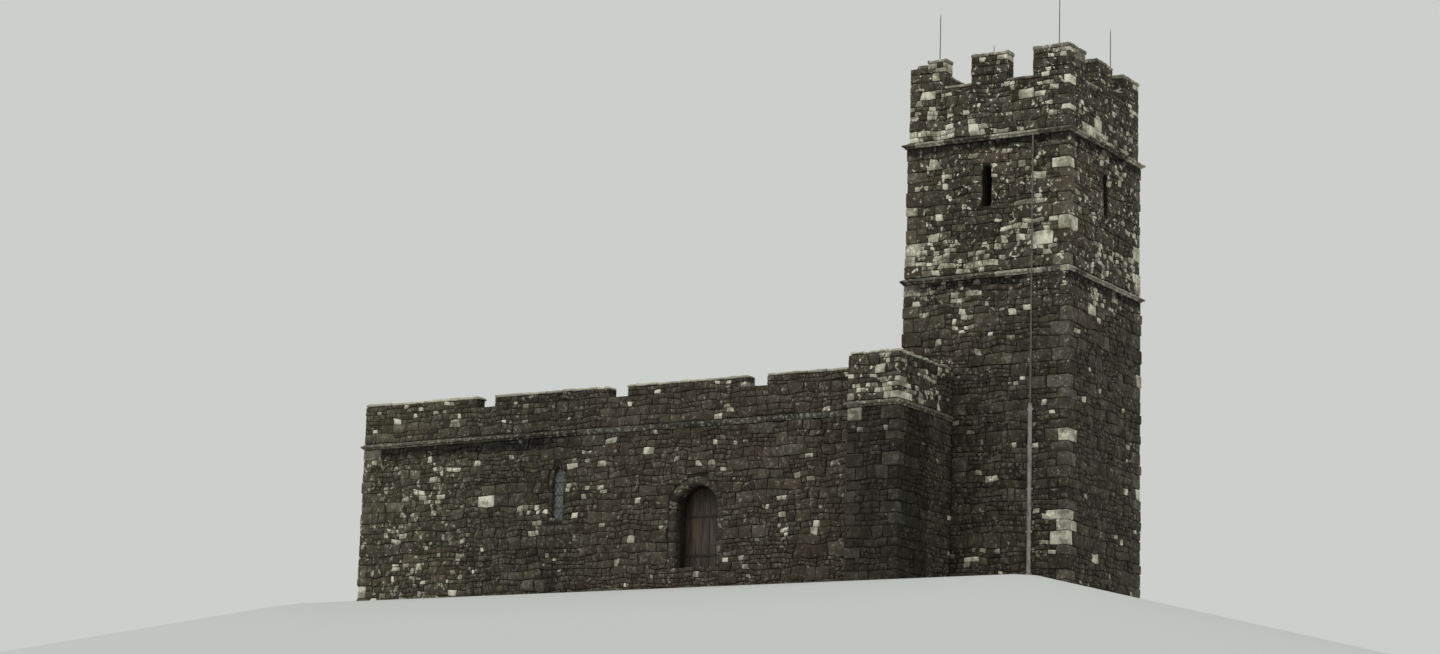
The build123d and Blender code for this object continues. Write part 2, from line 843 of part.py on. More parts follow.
# Lightning rods on foot plates inside the parapet corners, and the tape down the tower
rod_foot = belfry_top + tower_roof_edge
with BuildPart() as lightning_rods:
    rod_in = tower_parapet_thickness + rod_inset / 2
    rod_x = (tower_east + rod_in, tower_west - rod_in)
    rod_y = (tower_north + rod_in, tower_south - rod_in)
    rod_places = [(x, y) for x in rod_x for y in rod_y]
    with BuildSketch(Plane.XY.offset(rod_foot)):
        with Locations(*rod_places):
            Rectangle(rod_plate, rod_plate)
    extrude(amount=rod_plate_height)
    with BuildSketch(Plane.XY.offset(rod_foot + rod_plate_height)):
        with Locations(*rod_places):
            Circle(rod_radius)
    extrude(amount=rod_height - rod_plate_height)
write(lightning_rods.part, "lightning_rods")

tape_x = tower_west - tape_centre
with BuildPart() as conductor_tape:
    tape_range = (tape_x - tape_width / 2, tape_x + tape_width / 2)
    add(block(tape_range, (tower_north - tape_thickness, tower_north), (guard_top, lower_stage_height)))
    upper_face = tower_north + set_off
    belfry_tape = (lower_stage_height + string_height, belfry_top)
    add(block(tape_range, (upper_face - tape_thickness, upper_face), belfry_tape))
write(conductor_tape.part, "conductor_tape")

with BuildPart() as conductor_guard:
    guard_range = (tape_x - guard_width / 2, tape_x + guard_width / 2)
    add(block(guard_range, (tower_north - guard_thickness, tower_north), (guard_bottom, guard_top)))
write(conductor_guard.part, "conductor_guard")

# Stair turret: three walls against the tower, a string course, a coping and a flat roof
turret_side_y = (turret_north + turret_wall, tower_north)
turret_masonry_top = nave_top - turret_coping_height
turret_heights = (0, turret_masonry_top)
with BuildPart() as turret_north_wall:
    add(block((tower_east, turret_west), (turret_north, turret_side_y[0]), turret_heights))
write(turret_north_wall.part, "turret_north_wall")

with BuildPart() as turret_east_wall:
    add(block((tower_east, tower_east + turret_wall), turret_side_y, turret_heights))
write(turret_east_wall.part, "turret_east_wall")

with BuildPart() as turret_west_wall:
    add(block((turret_west - turret_wall, turret_west), turret_side_y, turret_heights))
write(turret_west_wall.part, "turret_west_wall")

turret_string_level = nave_wall_height - turret_string_drop
turret_string_line = [
    (tower_east, nave_north - nave_string_proud),
    (tower_east, turret_north),
    (turret_west, turret_north),
    (turret_west, tower_north),
]
with BuildPart() as turret_string_course:
    add(string_course(turret_string_line, turret_string_level, 0, turret_string_proud))
write(turret_string_course.part, "turret_string_course")

with BuildPart() as turret_coping:
    lip = nave_coping_overhang
    levels = (turret_masonry_top, nave_top)
    inner = turret_wall + lip
    east_end = nave_north - lip
    add(block((tower_east - lip, turret_west + lip), (turret_north - lip, turret_north + inner), levels))
    add(block((turret_west - inner, turret_west + lip), (turret_north + inner, tower_north), levels))
    add(block((tower_east - lip, tower_east + inner), (turret_north + inner, east_end), levels))
    add(block((tower_east, tower_east + inner), (east_end, tower_north), levels))
write(turret_coping.part, "turret_coping")

with BuildPart() as turret_roof:
    roof_level = nave_top - turret_roof_drop
    turret_room_x = (tower_east + turret_wall, turret_west - turret_wall)
    add(block(turret_room_x, turret_side_y, (roof_level - turret_roof_thickness, roof_level)))
write(turret_roof.part, "turret_roof")
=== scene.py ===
"""A small hill-top church: its rubble masonry, dressings, roofs, doors and windows around the CAD frame.

The file is laid out as an add-on. Run as a script, it builds every piece in order and then the stage.
Lengths are in metres, +Z is up, +X runs to the tower and -Y to the stair turret.
"""

import json
import math
import random

import bmesh
import bpy
from bpy.props import FloatProperty, FloatVectorProperty, IntProperty, PointerProperty
from mathutils import Matrix, Vector, noise


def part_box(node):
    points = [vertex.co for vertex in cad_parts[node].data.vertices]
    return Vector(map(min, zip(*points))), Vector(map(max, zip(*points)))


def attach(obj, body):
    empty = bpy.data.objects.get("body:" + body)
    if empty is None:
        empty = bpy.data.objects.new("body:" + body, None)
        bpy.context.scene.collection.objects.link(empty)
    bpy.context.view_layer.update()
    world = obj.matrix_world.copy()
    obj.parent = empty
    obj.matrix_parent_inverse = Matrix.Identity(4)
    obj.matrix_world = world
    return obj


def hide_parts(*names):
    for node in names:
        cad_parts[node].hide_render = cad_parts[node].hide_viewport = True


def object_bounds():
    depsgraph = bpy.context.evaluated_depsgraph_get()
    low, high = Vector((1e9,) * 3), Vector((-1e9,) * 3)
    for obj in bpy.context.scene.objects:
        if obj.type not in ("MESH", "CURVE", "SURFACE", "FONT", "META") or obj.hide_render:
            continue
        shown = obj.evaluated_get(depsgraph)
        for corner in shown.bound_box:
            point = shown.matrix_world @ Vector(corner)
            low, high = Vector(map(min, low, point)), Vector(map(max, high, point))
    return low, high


bl_info = {
    "name": "Hill-top church",
    "version": (1, 0, 0),
    "blender": (4, 5, 0),
    "location": "View3D > Sidebar > Church",
    "description": "Masonry, roofs, doors and windows of a small embattled church",
    "category": "Object",
}

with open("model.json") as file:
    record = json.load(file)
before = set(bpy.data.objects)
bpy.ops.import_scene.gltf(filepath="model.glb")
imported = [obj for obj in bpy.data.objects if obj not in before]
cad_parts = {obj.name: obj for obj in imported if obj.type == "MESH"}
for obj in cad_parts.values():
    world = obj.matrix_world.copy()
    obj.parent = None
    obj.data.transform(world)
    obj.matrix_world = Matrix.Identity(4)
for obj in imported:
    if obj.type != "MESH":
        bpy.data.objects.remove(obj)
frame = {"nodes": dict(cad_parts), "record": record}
nodes = frame["nodes"]
cad_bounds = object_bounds()

# Directions: up, along the nave, out of each face and across it, and to the four corners of a plan
UP = Vector((0, 0, 1))
ALONG = Vector((1, 0, 0))
OUTWARD = {
    "north": Vector((0, -1, 0)),
    "south": Vector((0, 1, 0)),
    "east": Vector((-1, 0, 0)),
    "west": Vector((1, 0, 0)),
}
ACROSS = {side: UP.cross(outward) for side, outward in OUTWARD.items()}
QUARTERS = ((-1, -1), (-1, 1), (1, -1), (1, 1))


# Lines of the building, read from the frame


class Block:
    """Box round one node or several, with its two ends along each axis."""

    def __init__(self, *names):
        boxes = [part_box(name) for name in names]
        self.x, self.y, self.z = (
            (min(low[axis] for low, high in boxes), max(high[axis] for low, high in boxes))
            for axis in range(3)
        )


def length_of(ends):
    """Length from one end to the other."""
    return ends[1] - ends[0]


tower = Block("tower_north_wall", "tower_south_wall")
tower_wall = length_of(Block("tower_north_wall").y)
parapet = Block("tower_north_parapet", "tower_south_parapet")
parapet_wall = length_of(Block("tower_north_parapet").y)
set_off = (parapet.x[0] - tower.x[0]) / 2
lower_string = Block("tower_lower_string")
upper_string = Block("tower_upper_string")
tower_sills = Block("tower_crenel_sills")
tower_copings = Block("tower_merlon_copings")
nave = Block("nave_north_wall", "nave_south_wall")
nave_wall = length_of(Block("nave_north_wall").y)
nave_string = Block("nave_string_course")
nave_parapet = Block("nave_north_parapet")
nave_parapet_wall = length_of(nave_parapet.y)
nave_copings = Block("nave_north_copings")
turret = Block("turret_north_wall")
turret_wall = length_of(turret.y)
turret_y = (turret.y[0], tower.y[0])
turret_string = Block("turret_string_course")
gable = Block("nave_east_wall")
slope = Block("roof_north_slope")
roof_half = length_of(slope.y)
door = Block("door_surrounds")
rods = Block("lightning_rods")
axis_y = sum(tower.y) / 2
floor_level = Block("nave_floor").z[1]

# The gable stands this much over the slates, which rise by this share of their run
gable_rise = 0.18
roof_slope = math.tan(math.radians(25))

# Outlines in the wall faces: half width, sill, springing line and radius of the head
door_x = sum(door.x) / 2
door_half = length_of(door.x) / 2
door_outline = (door_half, door.z[0], door.z[1] - door_half, door_half)
door_reveal = 0.45
lancet_x = -3.335
lancet_half = 0.235
lancet_crown = 3.22
lancet_outline = (lancet_half, 1.86, lancet_crown - math.sqrt(3) * lancet_half, 2 * lancet_half)
lancet_jamb = 0.09
east_lancets = ((-0.9, 0.0), (0.0, 0.3), (0.9, 0.0))
slit_half = 0.12
slit_sill = lower_string.z[0] + 1.59
slit_outline = (slit_half, slit_sill, slit_sill + 0.91 - slit_half, slit_half)

# Crenels, the worn merlon, the tower's deck and where the strings are worn away
crenel_width = 0.64
nave_crenels = (-5.4, -1.78, 1.84)
nave_crenel_half = 0.265
nave_crenel_sill = nave_parapet.z[1] - 0.20
broken_merlon = (parapet.x[0] + 0.42, tower_copings.z[0] - 0.08)
deck_width = 0.43
string_end = 7.87
worn_string_x = -3.7

# How far stones pass a wall's ends and a merlon's sides, and how far they stay clear of what they meet
end_lap = 0.014
merlon_lap = 0.012
clearance = 0.02

# Least and most that stones stand out where the user's relief isn't taken
parapet_relief = (0.006, 0.022)
course_relief = (0.006, 0.024)
rough_relief = (0.008, 0.034)

# Least and most height of a course where the user's aren't taken
parapet_courses = (0.17, 0.26)
merlon_courses = (0.17, 0.22)
nave_parapet_courses = (0.18, 0.27)
turret_parapet_courses = (0.17, 0.24)
gable_courses = (0.19, 0.3)
verge_courses = (0.2, 0.3)
jamb_courses = (0.22, 0.34)
lancet_courses = (0.24, 0.36)

# Joints of string courses from their start, and of the turret's coping from the back of its front slabs
lower_string_joints = (0.95, 1.62, 2.3)
turret_string_joints = ((0.95,), (0.98, 1.5, 2.0))
turret_coping_joints = (0.55, 1.1, 1.6)

# Stones in the arch of a doorway
arch_stones = 11

# Lancets: how deep the glass and its bars lie, where the bars are, and the lattice's slope and pitch
glass_depth = 0.099
bar_depth = 0.075
bar_shares = (0.2, 0.45, 0.7)
lattice_slope = 1.45
lattice_pitch = 0.155

# Courses of slates: the longest at the eaves, what each next one loses, and the shortest
longest_course = 0.27
course_change = 0.009
shortest_course = 0.15

# Camera: the photograph's standpoint and line of sight, turned straight to the church and drawn in on it
camera_place = Vector((36.936, -61.363, -7.86))
camera_aim = Vector((-0.6, 0.2, 6.55))
camera_lens = 80.0
photo_turn = 0.35
photo_climb = 0.104

# Stage: a floor that lies level round the walls, as far as the margin, and falls away beyond it
ground_size = (96, 80)
ground_level = -0.01
ground_margin = 0.4
ground_fall = math.tan(math.radians(13.5))


def roof_line(y):
    """Height of the nave's slates at a place across the nave."""
    eaves = gable.z[1] - gable_rise - roof_half * roof_slope
    return eaves + (roof_half - abs(y - axis_y)) * roof_slope


def merlon_spans(ends):
    """Start and end of the three merlons on one side of the tower."""
    length = (length_of(ends) - 2 * crenel_width) / 3
    starts = [ends[0] + index * (length + crenel_width) for index in range(3)]
    return [(start, start + length) for start in starts]


def gable_line(y):
    """Height of the gable's masonry, which stands over the slates."""
    return roof_line(y) + gable_rise


def over_slates(y):
    """Lowest height of masonry that stands over the nave's slates, where there are slates."""
    return roof_line(y) + clearance if y >= nave.y[0] else 0.0


def pairs(values):
    """Neighbouring values, two by two."""
    return list(zip(values[:-1], values[1:]))


def halves(place):
    """The two open stretches on each side of a place."""
    return (None, place), (place, None)


# Materials


class Value:
    """A socket that carries a value: Python's operators add the Math nodes."""

    def __init__(self, tree, socket):
        self.tree = tree
        self.socket = socket

    def maths(self, operation, *values):
        return self.tree.node("ShaderNodeMath", {"operation": operation}, values)

    def __add__(self, other):
        return self.maths("ADD", self, other)

    def __sub__(self, other):
        return self.maths("SUBTRACT", self, other)

    def __rsub__(self, other):
        return self.maths("SUBTRACT", other, self)

    def __mul__(self, other):
        return self.maths("MULTIPLY", self, other)

    __radd__ = __add__
    __rmul__ = __mul__

    def larger(self, other):
        return self.maths("MAXIMUM", self, other)

    def size(self):
        return self.maths("ABSOLUTE", self)

    def step(self, start, end, low=0.0, high=1.0):
        """Smooth change from low to high as the value goes from start to end."""
        settings = {"interpolation_type": "SMOOTHSTEP", "clamp": True}
        return self.tree.node("ShaderNodeMapRange", settings, [self, start, end, low, high])

    def band(self, low, high, soft):
        """One between two values and nought outside them, with soft ends."""
        return self.step(low - soft, low) * (1 - self.step(high, high + soft))


class Nodes:
    """A node tree being put together."""

    def __init__(self, tree):
        self.tree = tree

    def node(self, kind, settings, inputs, output=0):
        """Add a node with its settings, and give its sockets their values or links."""
        node = self.tree.nodes.new(kind)
        for key, value in settings.items():
            if key == "stops":
                elements = node.color_ramp.elements
                for index, (place, colour) in enumerate(value):
                    stop = elements[index] if index < len(elements) else elements.new(place)
                    stop.position = place
                    stop.color = (*colour, 1)
            else:
                setattr(node, key, value)
        for key, value in inputs.items() if isinstance(inputs, dict) else enumerate(inputs):
            self.give(node.inputs[key], value)
        return Value(self, node.outputs[output])

    def give(self, socket, value):
        """Link a value to a socket, or set it there when it's a number or a colour."""
        if isinstance(value, Value):
            self.tree.links.new(value.socket, socket)
        elif isinstance(value, tuple) and len(value) < len(socket.default_value):
            socket.default_value = (*value, 1)
        else:
            socket.default_value = value


class Finish(Nodes):
    """A material being put together around one surface shader."""

    def __init__(self, name):
        self.material = bpy.data.materials.new(name)
        self.material.use_nodes = True
        super().__init__(self.material.node_tree)
        self.position = self.node("ShaderNodeTexCoord", {}, {}, "Object")

    def axes(self):
        """The surface point's coordinates along X, Y and Z."""
        first = self.node("ShaderNodeSeparateXYZ", {}, [self.position])
        return [Value(self, socket) for socket in first.socket.node.outputs]

    def chosen(self, *names):
        """The user's colours of these names."""
        colours = bpy.context.scene.church_tones
        return [tuple(getattr(colours, name)) for name in names]

    def attribute(self, name):
        """A number that the mesh carries, one to each stone or board."""
        return self.node("ShaderNodeAttribute", {"attribute_name": name}, {}, "Fac")

    def pattern(self, kind, stretch, **inputs):
        """Texture in the object's own space, drawn out along some axes."""
        vector = self.position
        if stretch:
            vector = self.node("ShaderNodeMapping", {}, {"Vector": vector, "Scale": stretch})
        return self.node(kind, {}, {"Vector": vector, **inputs})

    def noise(self, scale, detail=4.0, roughness=0.55, stretch=None, warp=0.0):
        """Cloudy noise, from 0 to 1."""
        inputs = {"Scale": scale, "Detail": detail, "Roughness": roughness, "Distortion": warp}
        return self.pattern("ShaderNodeTexNoise", stretch, **inputs)

    def cells(self, scale, stretch=None):
        """Distance to the nearest of many scattered points."""
        return self.pattern("ShaderNodeTexVoronoi", stretch, Scale=scale)

    def ramp(self, value, *stops):
        """Colour looked up along a ramp of stops."""
        return self.node("ShaderNodeValToRGB", {"stops": stops}, [value], "Color")

    def mix(self, amount, first, second, how="MIX"):
        """Second colour over the first by an amount from 0 to 1."""
        settings = {"data_type": "RGBA", "blend_type": how, "clamp_factor": True}
        return self.node("ShaderNodeMix", settings, {0: amount, 6: first, 7: second}, 2)

    def darken(self, colour, amount):
        """Colour times a varying grey amount."""
        grey = self.node("ShaderNodeCombineColor", {}, [amount, amount, amount])
        return self.mix(1.0, colour, grey, "MULTIPLY")

    def done(self, colour, roughness, relief=None, depth=0.0, **constants):
        """Connect the surface, with a bump of a depth from a height field, and return the material."""
        inputs = {"Base Color": colour, "Roughness": roughness}
        if relief:
            bump = {"Strength": 1.0, "Distance": depth, "Height": relief}
            inputs["Normal"] = self.node("ShaderNodeBump", {}, bump)
        inputs.update((key.replace("_", " "), value) for key, value in constants.items())
        shader = self.tree.nodes["Principled BSDF"]
        for key, value in inputs.items():
            self.give(shader.inputs[key], value)
        return self.material


def on_tower(x):
    """One from the turret's east side on, nought along the nave."""
    return x.step(turret.x[0] - 0.03, turret.x[0] + 0.03)


def age(finish):
    """Share of light that the stone keeps: less low on the tower and along the nave towards the turret."""
    x, y, z = finish.axes()
    on_nave = x.step(-7.8, -3.4, 0.80, 0.42) * (1 - on_tower(x))
    return z.step(5.3, 7.4, 0.47, 0.53) * on_tower(x) + on_nave


def drips(finish):
    """Share of light that a wall keeps: less on the wet turret, and a painted shadow in the dark strip
    under each string.
    """
    x, y, z = finish.axes()
    off_nave = 1 - y.step(nave.y[0] - 0.12, nave.y[0] - 0.06)
    on_turret = off_nave * x.step(turret.x[0] - 0.2, turret.x[0] - 0.1)
    low_turret = on_turret * (1 - z.step(*turret_string.z))
    ragged = z + finish.noise(5, 3).step(0.2, 0.8, -0.06, 0.06)
    on_north = 1 - y.step(tower.y[0] + 0.1, tower.y[0] + 0.2)
    worn = x.band(string_end, tower.x[1] - 0.12, 0.06) * on_north
    # Painted shadow: dark strips under the tower's two strings and the nave's string, where their shade
    # falls.
    lower = ragged.band(lower_string.z[0] - 0.13, lower_string.z[0], 0.09) * (1 - worn)
    upper = ragged.band(upper_string.z[0] - 0.13, upper_string.z[0], 0.09)
    beside = ragged.band(nave_string.z[0] - 0.18, nave_string.z[0], 0.10)
    along_nave = beside * (1 - x.step(-4.2, -2.6, 0.0, 0.8)) * (1 - on_tower(x))
    string_shadows = (lower.larger(upper) * on_tower(x)).larger(along_nave)
    return (1 - string_shadows * 0.8) * (1 - low_turret * 0.54)


def lichen_zone(finish):
    """Share of the outside where lichen grows in many small spots."""
    x, y, z = finish.axes()
    belfry = z.step(lower_string.z[0] - 1.0, lower_string.z[0]) * 0.75
    east_end = (1 - x.step(-7.0, -5.0)) * (1 - z.step(*nave_string.z)) * 0.45
    turret_top = z.band(turret_string.z[1], turret.z[1] + 0.2, 0.1) * x.band(*turret.x, 0.05) * 0.75
    return belfry.larger(east_end).larger(turret_top)


def rubble_stone(finish):
    """Rough dark stones, each with its own tone, some of them pale with quartz and lichen."""
    tone, pale = finish.attribute("tone"), finish.attribute("pale")
    dark, brown, green, light = finish.chosen("dark", "brown", "green", "light")
    rust, old_lichen, quartz = finish.chosen("rust", "lichen", "quartz")
    darker = ((0.0, dark), (0.22, brown), (0.42, green), (0.6, dark))
    stone = finish.ramp(tone, *darker, (0.74, brown), (0.88, light), (1.0, green))
    cloud = finish.noise(5.5, 6, 0.62)
    stone = finish.darken(stone, cloud.step(0.28, 0.72, 0.52, 1.45))
    grain = finish.noise(70, 4, 0.7)
    stone = finish.darken(stone, grain.step(0.3, 0.7, 0.8, 1.2))
    stone = finish.darken(stone, age(finish))
    reddish = finish.axes()[0].band(-2.0, 4.8, 1.5) * 0.22
    red = finish.noise(0.62, 3, 0.5).step(0.58, 0.70, 0.0, 0.35).larger(reddish)
    stone = finish.mix(red, stone, rust)
    crust = finish.noise(13, 7, 0.66, warp=0.12)
    crust_share = crust.step(0.54, 0.60) * pale.step(0.05, 0.5, 0.10, 1.0)
    lichen = finish.mix(finish.noise(4, 2).step(0.35, 0.6), old_lichen, quartz)
    lichen = finish.darken(lichen, grain.step(0.25, 0.75, 0.72, 1.15))
    body = finish.mix(pale * 0.80, stone, lichen)
    surface = finish.mix(crust_share, body, lichen)
    spots = finish.noise(9.0, 5, 0.55, warp=0.15)
    many = spots.step(0.595, 0.635)
    few = spots.step(0.64, 0.68) * 0.3
    surface = finish.mix((few + (many - few) * lichen_zone(finish)) * 0.9, surface, lichen)
    # Painted shadow under the string courses, and the darker wet lower turret.
    surface = finish.darken(surface, drips(finish))
    pores = finish.cells(38).step(0.05, 0.28)
    relief = grain * 0.35 + cloud * 0.9 + pores * 0.25 + crust_share * 0.25
    return finish.done(surface, 0.93, relief, 0.012, Specular_IOR_Level=0.25)


def wall_core(finish):
    """Brown lime mortar outside and old limewash on the inside faces of the walls."""
    x, y, z = finish.axes()
    cloud = finish.noise(4, 6, 0.6)
    grit = finish.noise(90, 3, 0.7)
    mortar = finish.mix(cloud.step(0.3, 0.7), *finish.chosen("mortar", "mortar_dark"))
    # The mortar also gets the painted shadow under the strings and the darker wet lower turret.
    mortar = finish.darken(mortar, grit.step(0.25, 0.75, 0.75, 1.2) * age(finish) * drips(finish))
    wash = finish.mix(cloud.step(0.35, 0.75), *finish.chosen("limewash"), (0.50, 0.46, 0.38))
    wash = finish.darken(wash, z.step(0.7, 1.7, 0.72, 1.0))

    def within(value, ends, wall):
        """One inside the faces of a room whose walls have this thickness, nought in the walls."""
        half = length_of(ends) / 2 - wall + 0.02
        return 1 - (value - sum(ends) / 2).size().step(half - 0.005, half + 0.005)

    past_gable = x.step(gable.x[1] - 0.03, gable.x[1] - 0.015)
    in_length = past_gable * (1 - x.step(nave.x[1] - 0.02, nave.x[1] - 0.01))
    under_roof = 1 - z.step(slope.z[0], slope.z[0] + 0.02)
    in_nave = within(y, nave.y, nave_wall) * in_length * under_roof
    in_tower = within(y, tower.y, tower_wall) * within(x, tower.x, tower_wall)
    colour = finish.mix(in_nave.larger(in_tower), mortar, wash)
    return finish.done(colour, 0.95, cloud * 0.8 + grit * 0.4, 0.012, Specular_IOR_Level=0.2)


def dressed_stone(finish):
    """Weathered worked stone with lichen on its upper parts."""
    tone, pale = finish.attribute("tone"), finish.attribute("pale")
    old_lichen, quartz = finish.chosen("lichen", "quartz")
    body = (0.0, (0.036, 0.034, 0.023)), (0.5, (0.060, 0.057, 0.040)), (1.0, (0.100, 0.096, 0.070))
    stone = finish.ramp(tone, *body)
    cloud = finish.noise(7, 6, 0.62)
    grain = finish.noise(80, 4, 0.7)
    stone = finish.darken(stone, cloud.step(0.25, 0.75, 0.65, 1.35) * grain.step(0.3, 0.7, 0.82, 1.18))
    stone = finish.darken(stone, age(finish))
    washed = finish.axes()[2].band(nave_copings.z[0] - 0.03, nave_copings.z[1], 0.03) * 0.7
    crust = finish.noise(12, 7, 0.66, warp=0.12).step(0.52, 0.58, 0.0, 0.9).larger(washed)
    lichen = finish.mix(finish.noise(5, 2), old_lichen, quartz)
    stone = finish.mix(pale.step(0.2, 1.0, 0.0, 0.35).larger(crust * pale), stone, lichen)
    relief = grain * 0.4 + cloud * 0.9 + crust * 0.3
    return finish.done(stone, 0.92, relief, 0.010, Specular_IOR_Level=0.25)


def floor_slabs(finish):
    """Worn flagstones with narrow joints."""
    sizes = {"Scale": 1.0, "Brick Width": 0.75, "Row Height": 0.5, "Bias": 0.0}
    joint = {"Mortar Size": 0.008, "Mortar Smooth": 0.2, "Mortar": (0.05, 0.048, 0.042)}
    shades = {"Color1": (0.17, 0.165, 0.15), "Color2": (0.24, 0.23, 0.21)}
    inputs = {"Vector": finish.position, **sizes, **joint, **shades}
    flags = finish.node("ShaderNodeTexBrick", {"offset": 0.5}, inputs, "Color")
    joints = Value(finish, flags.socket.node.outputs["Fac"])
    cloud = finish.noise(6, 5, 0.6)
    colour = finish.darken(flags, cloud.step(0.25, 0.75, 0.75, 1.2))
    return finish.done(colour, cloud.step(0.3, 0.7, 0.62, 0.85), cloud * 0.5 + (1 - joints), 0.006)


def old_oak(finish, along, dark=(0.040, 0.028, 0.018), light=(0.105, 0.076, 0.050)):
    """Dry dark oak with grain along one axis."""
    stretch = tuple(0.06 if letter == along else 1.0 for letter in "XYZ")
    grain = finish.noise(42, 6, 0.65, stretch, 0.4)
    broad = finish.noise(7, 4, 0.6, stretch)
    tone = finish.attribute("tone").step(0.0, 1.0, 0.8, 1.2)
    colour = finish.mix(grain.step(0.3, 0.7), dark, light)
    colour = finish.darken(colour, broad.step(0.25, 0.75, 0.7, 1.25) * tone)
    return finish.done(colour, grain.step(0.3, 0.7, 0.88, 0.7), grain + broad * 0.5, 0.004)


def door_oak(finish):
    """Brown boards of the doors, their grain upright."""
    return old_oak(finish, "Z", (0.022, 0.016, 0.011), (0.070, 0.051, 0.034))


def beam_oak(finish):
    """Oak of the timbers that run along the nave."""
    return old_oak(finish, "X")


def tie_oak(finish):
    """Oak of the ties across the nave."""
    return old_oak(finish, "Y")


def riven_slate(finish):
    """Grey slates, each with its own shade, with moss and pale lichen spots."""
    shades = (0.0, (0.060, 0.062, 0.062)), (0.5, (0.088, 0.090, 0.088)), (1.0, (0.125, 0.124, 0.115))
    slate = finish.ramp(finish.attribute("tone"), *shades)
    cloud = finish.noise(9, 5, 0.6)
    slate = finish.darken(slate, cloud.step(0.25, 0.75, 0.8, 1.2))
    spots = finish.noise(16, 6, 0.7).step(0.60, 0.66, 0.0, 0.8)
    slate = finish.mix(spots, slate, (0.26, 0.265, 0.22))
    moss = finish.noise(2.4, 6, 0.72).step(0.58, 0.66, 0.0, 0.85)
    slate = finish.mix(moss, slate, (0.045, 0.055, 0.018))
    relief = cloud * 0.6 + finish.noise(60, 3, 0.6) * 0.3 + moss * 0.4
    return finish.done(slate, moss.step(0.0, 1.0, 0.62, 0.95), relief, 0.005)


def ridge_clay(finish):
    """Weathered clay ridge tiles."""
    shades = (0.0, (0.105, 0.058, 0.040)), (1.0, (0.170, 0.098, 0.066))
    clay = finish.ramp(finish.attribute("tone"), *shades)
    cloud = finish.noise(12, 6, 0.65)
    clay = finish.darken(clay, cloud.step(0.25, 0.75, 0.7, 1.2))
    lichen = finish.noise(18, 7, 0.7).step(0.54, 0.62, 0.0, 0.85)
    clay = finish.mix(lichen, clay, (0.22, 0.225, 0.18))
    return finish.done(clay, 0.86, cloud + lichen * 0.4, 0.004)


def lead_sheet(finish):
    """Dull grey lead, paler where the rain has washed it."""
    cloud = finish.noise(3.2, 6, 0.6, warp=0.5)
    streak = finish.noise(16, 4, 0.6, (1, 1, 0.25))
    colour = finish.mix(cloud.step(0.3, 0.7), (0.155, 0.160, 0.165), (0.270, 0.275, 0.275))
    colour = finish.darken(colour, streak.step(0.3, 0.7, 0.82, 1.12))
    stain = finish.noise(9, 6, 0.7).step(0.60, 0.68, 0.0, 0.7)
    colour = finish.mix(stain, colour, (0.10, 0.105, 0.085))
    return finish.done(colour, cloud.step(0.3, 0.7, 0.50, 0.72), cloud + streak * 0.3, 0.006, Metallic=0.35)


def leaded_panes(finish):
    """Small old quarries behind a film of dust, painted dark for the shade of the room behind them; each
    pane catches the light a little differently, a painted reflection.
    """
    panes = finish.cells(7.5, (1, 1, 0.72))
    cloud = finish.noise(10, 4, 0.6)
    # Painted shade: the dark pane colours stand for the unlit room behind the glass, and their change from
    # pane to pane is a painted reflection.
    shade = finish.mix(panes.step(0.2, 0.7), (0.020, 0.025, 0.024), (0.058, 0.066, 0.060))
    colour = finish.darken(shade, cloud.step(0.3, 0.7, 0.7, 1.15))
    rough = cloud.step(0.3, 0.7, 0.10, 0.30)
    return finish.done(colour, rough, finish.noise(5, 2, 0.5), 0.012, Specular_IOR_Level=0.6)


def metal(finish, colour, stain, metallic, rough):
    """Weathered metal with stains that run down it."""
    cloud = finish.noise(14, 5, 0.65, (1, 1, 0.4))
    speck = finish.noise(120, 3, 0.7)
    surface = finish.mix(cloud.step(0.4, 0.65), colour, stain)
    surface = finish.darken(surface, speck.step(0.3, 0.7, 0.85, 1.12))
    roughness = cloud.step(0.3, 0.7, rough, rough + 0.2)
    return finish.done(surface, roughness, speck + cloud, 0.0012, Metallic=metallic)


def wrought_iron(finish):
    """Black iron with rust on it."""
    return metal(finish, (0.030, 0.028, 0.026), (0.070, 0.038, 0.021), 0.6, 0.62)


def dull_bronze(finish):
    """Tarnished rods and tape."""
    return metal(finish, (0.105, 0.102, 0.080), (0.058, 0.068, 0.048), 0.45, 0.55)


def pale_steel(finish):
    """Weathered pale cover of the tape."""
    return metal(finish, (0.24, 0.24, 0.215), (0.14, 0.135, 0.115), 0.3, 0.6)


def soft_ground(finish):
    """Plain pale stage that keeps the building's shadow."""
    return finish.done((0.42, 0.425, 0.41), 1.0, Specular_IOR_Level=0.0)


def finish_of(maker):
    """The material that a maker builds, made the first time that it is asked for."""
    name = "church_" + maker.__name__
    return bpy.data.materials.get(name) or maker(Finish(name))


# Shared ways of making pieces


def new_bmesh():
    """Empty bmesh whose faces carry the tone and paleness of their stone."""
    bm = bmesh.new()
    bm.faces.layers.float.new("tone")
    bm.faces.layers.float.new("pale")
    return bm


def new_object(name, bm, maker):
    """Turn a finished bmesh into an object with one finish."""
    mesh = bpy.data.meshes.new(name)
    bm.to_mesh(mesh)
    bm.free()
    mesh.materials.append(finish_of(maker))
    mesh.shade_smooth()
    made = bpy.data.objects.new(name, mesh)
    bpy.context.scene.collection.objects.link(made)
    return made


def new_piece(name, bm, maker, slot, *replaced, crease=0.7):
    """Turn a finished bmesh into a piece that rides on the building and stands for some nodes."""
    low, high = cad_bounds
    for vert in bm.verts:
        vert.co = [min(max(vert.co[i], low[i]), high[i]) for i in range(3)]
    piece = new_object(name, bm, maker)
    piece.data.set_sharp_from_angle(angle=crease)
    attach(piece, "root")
    if replaced:
        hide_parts(*replaced)


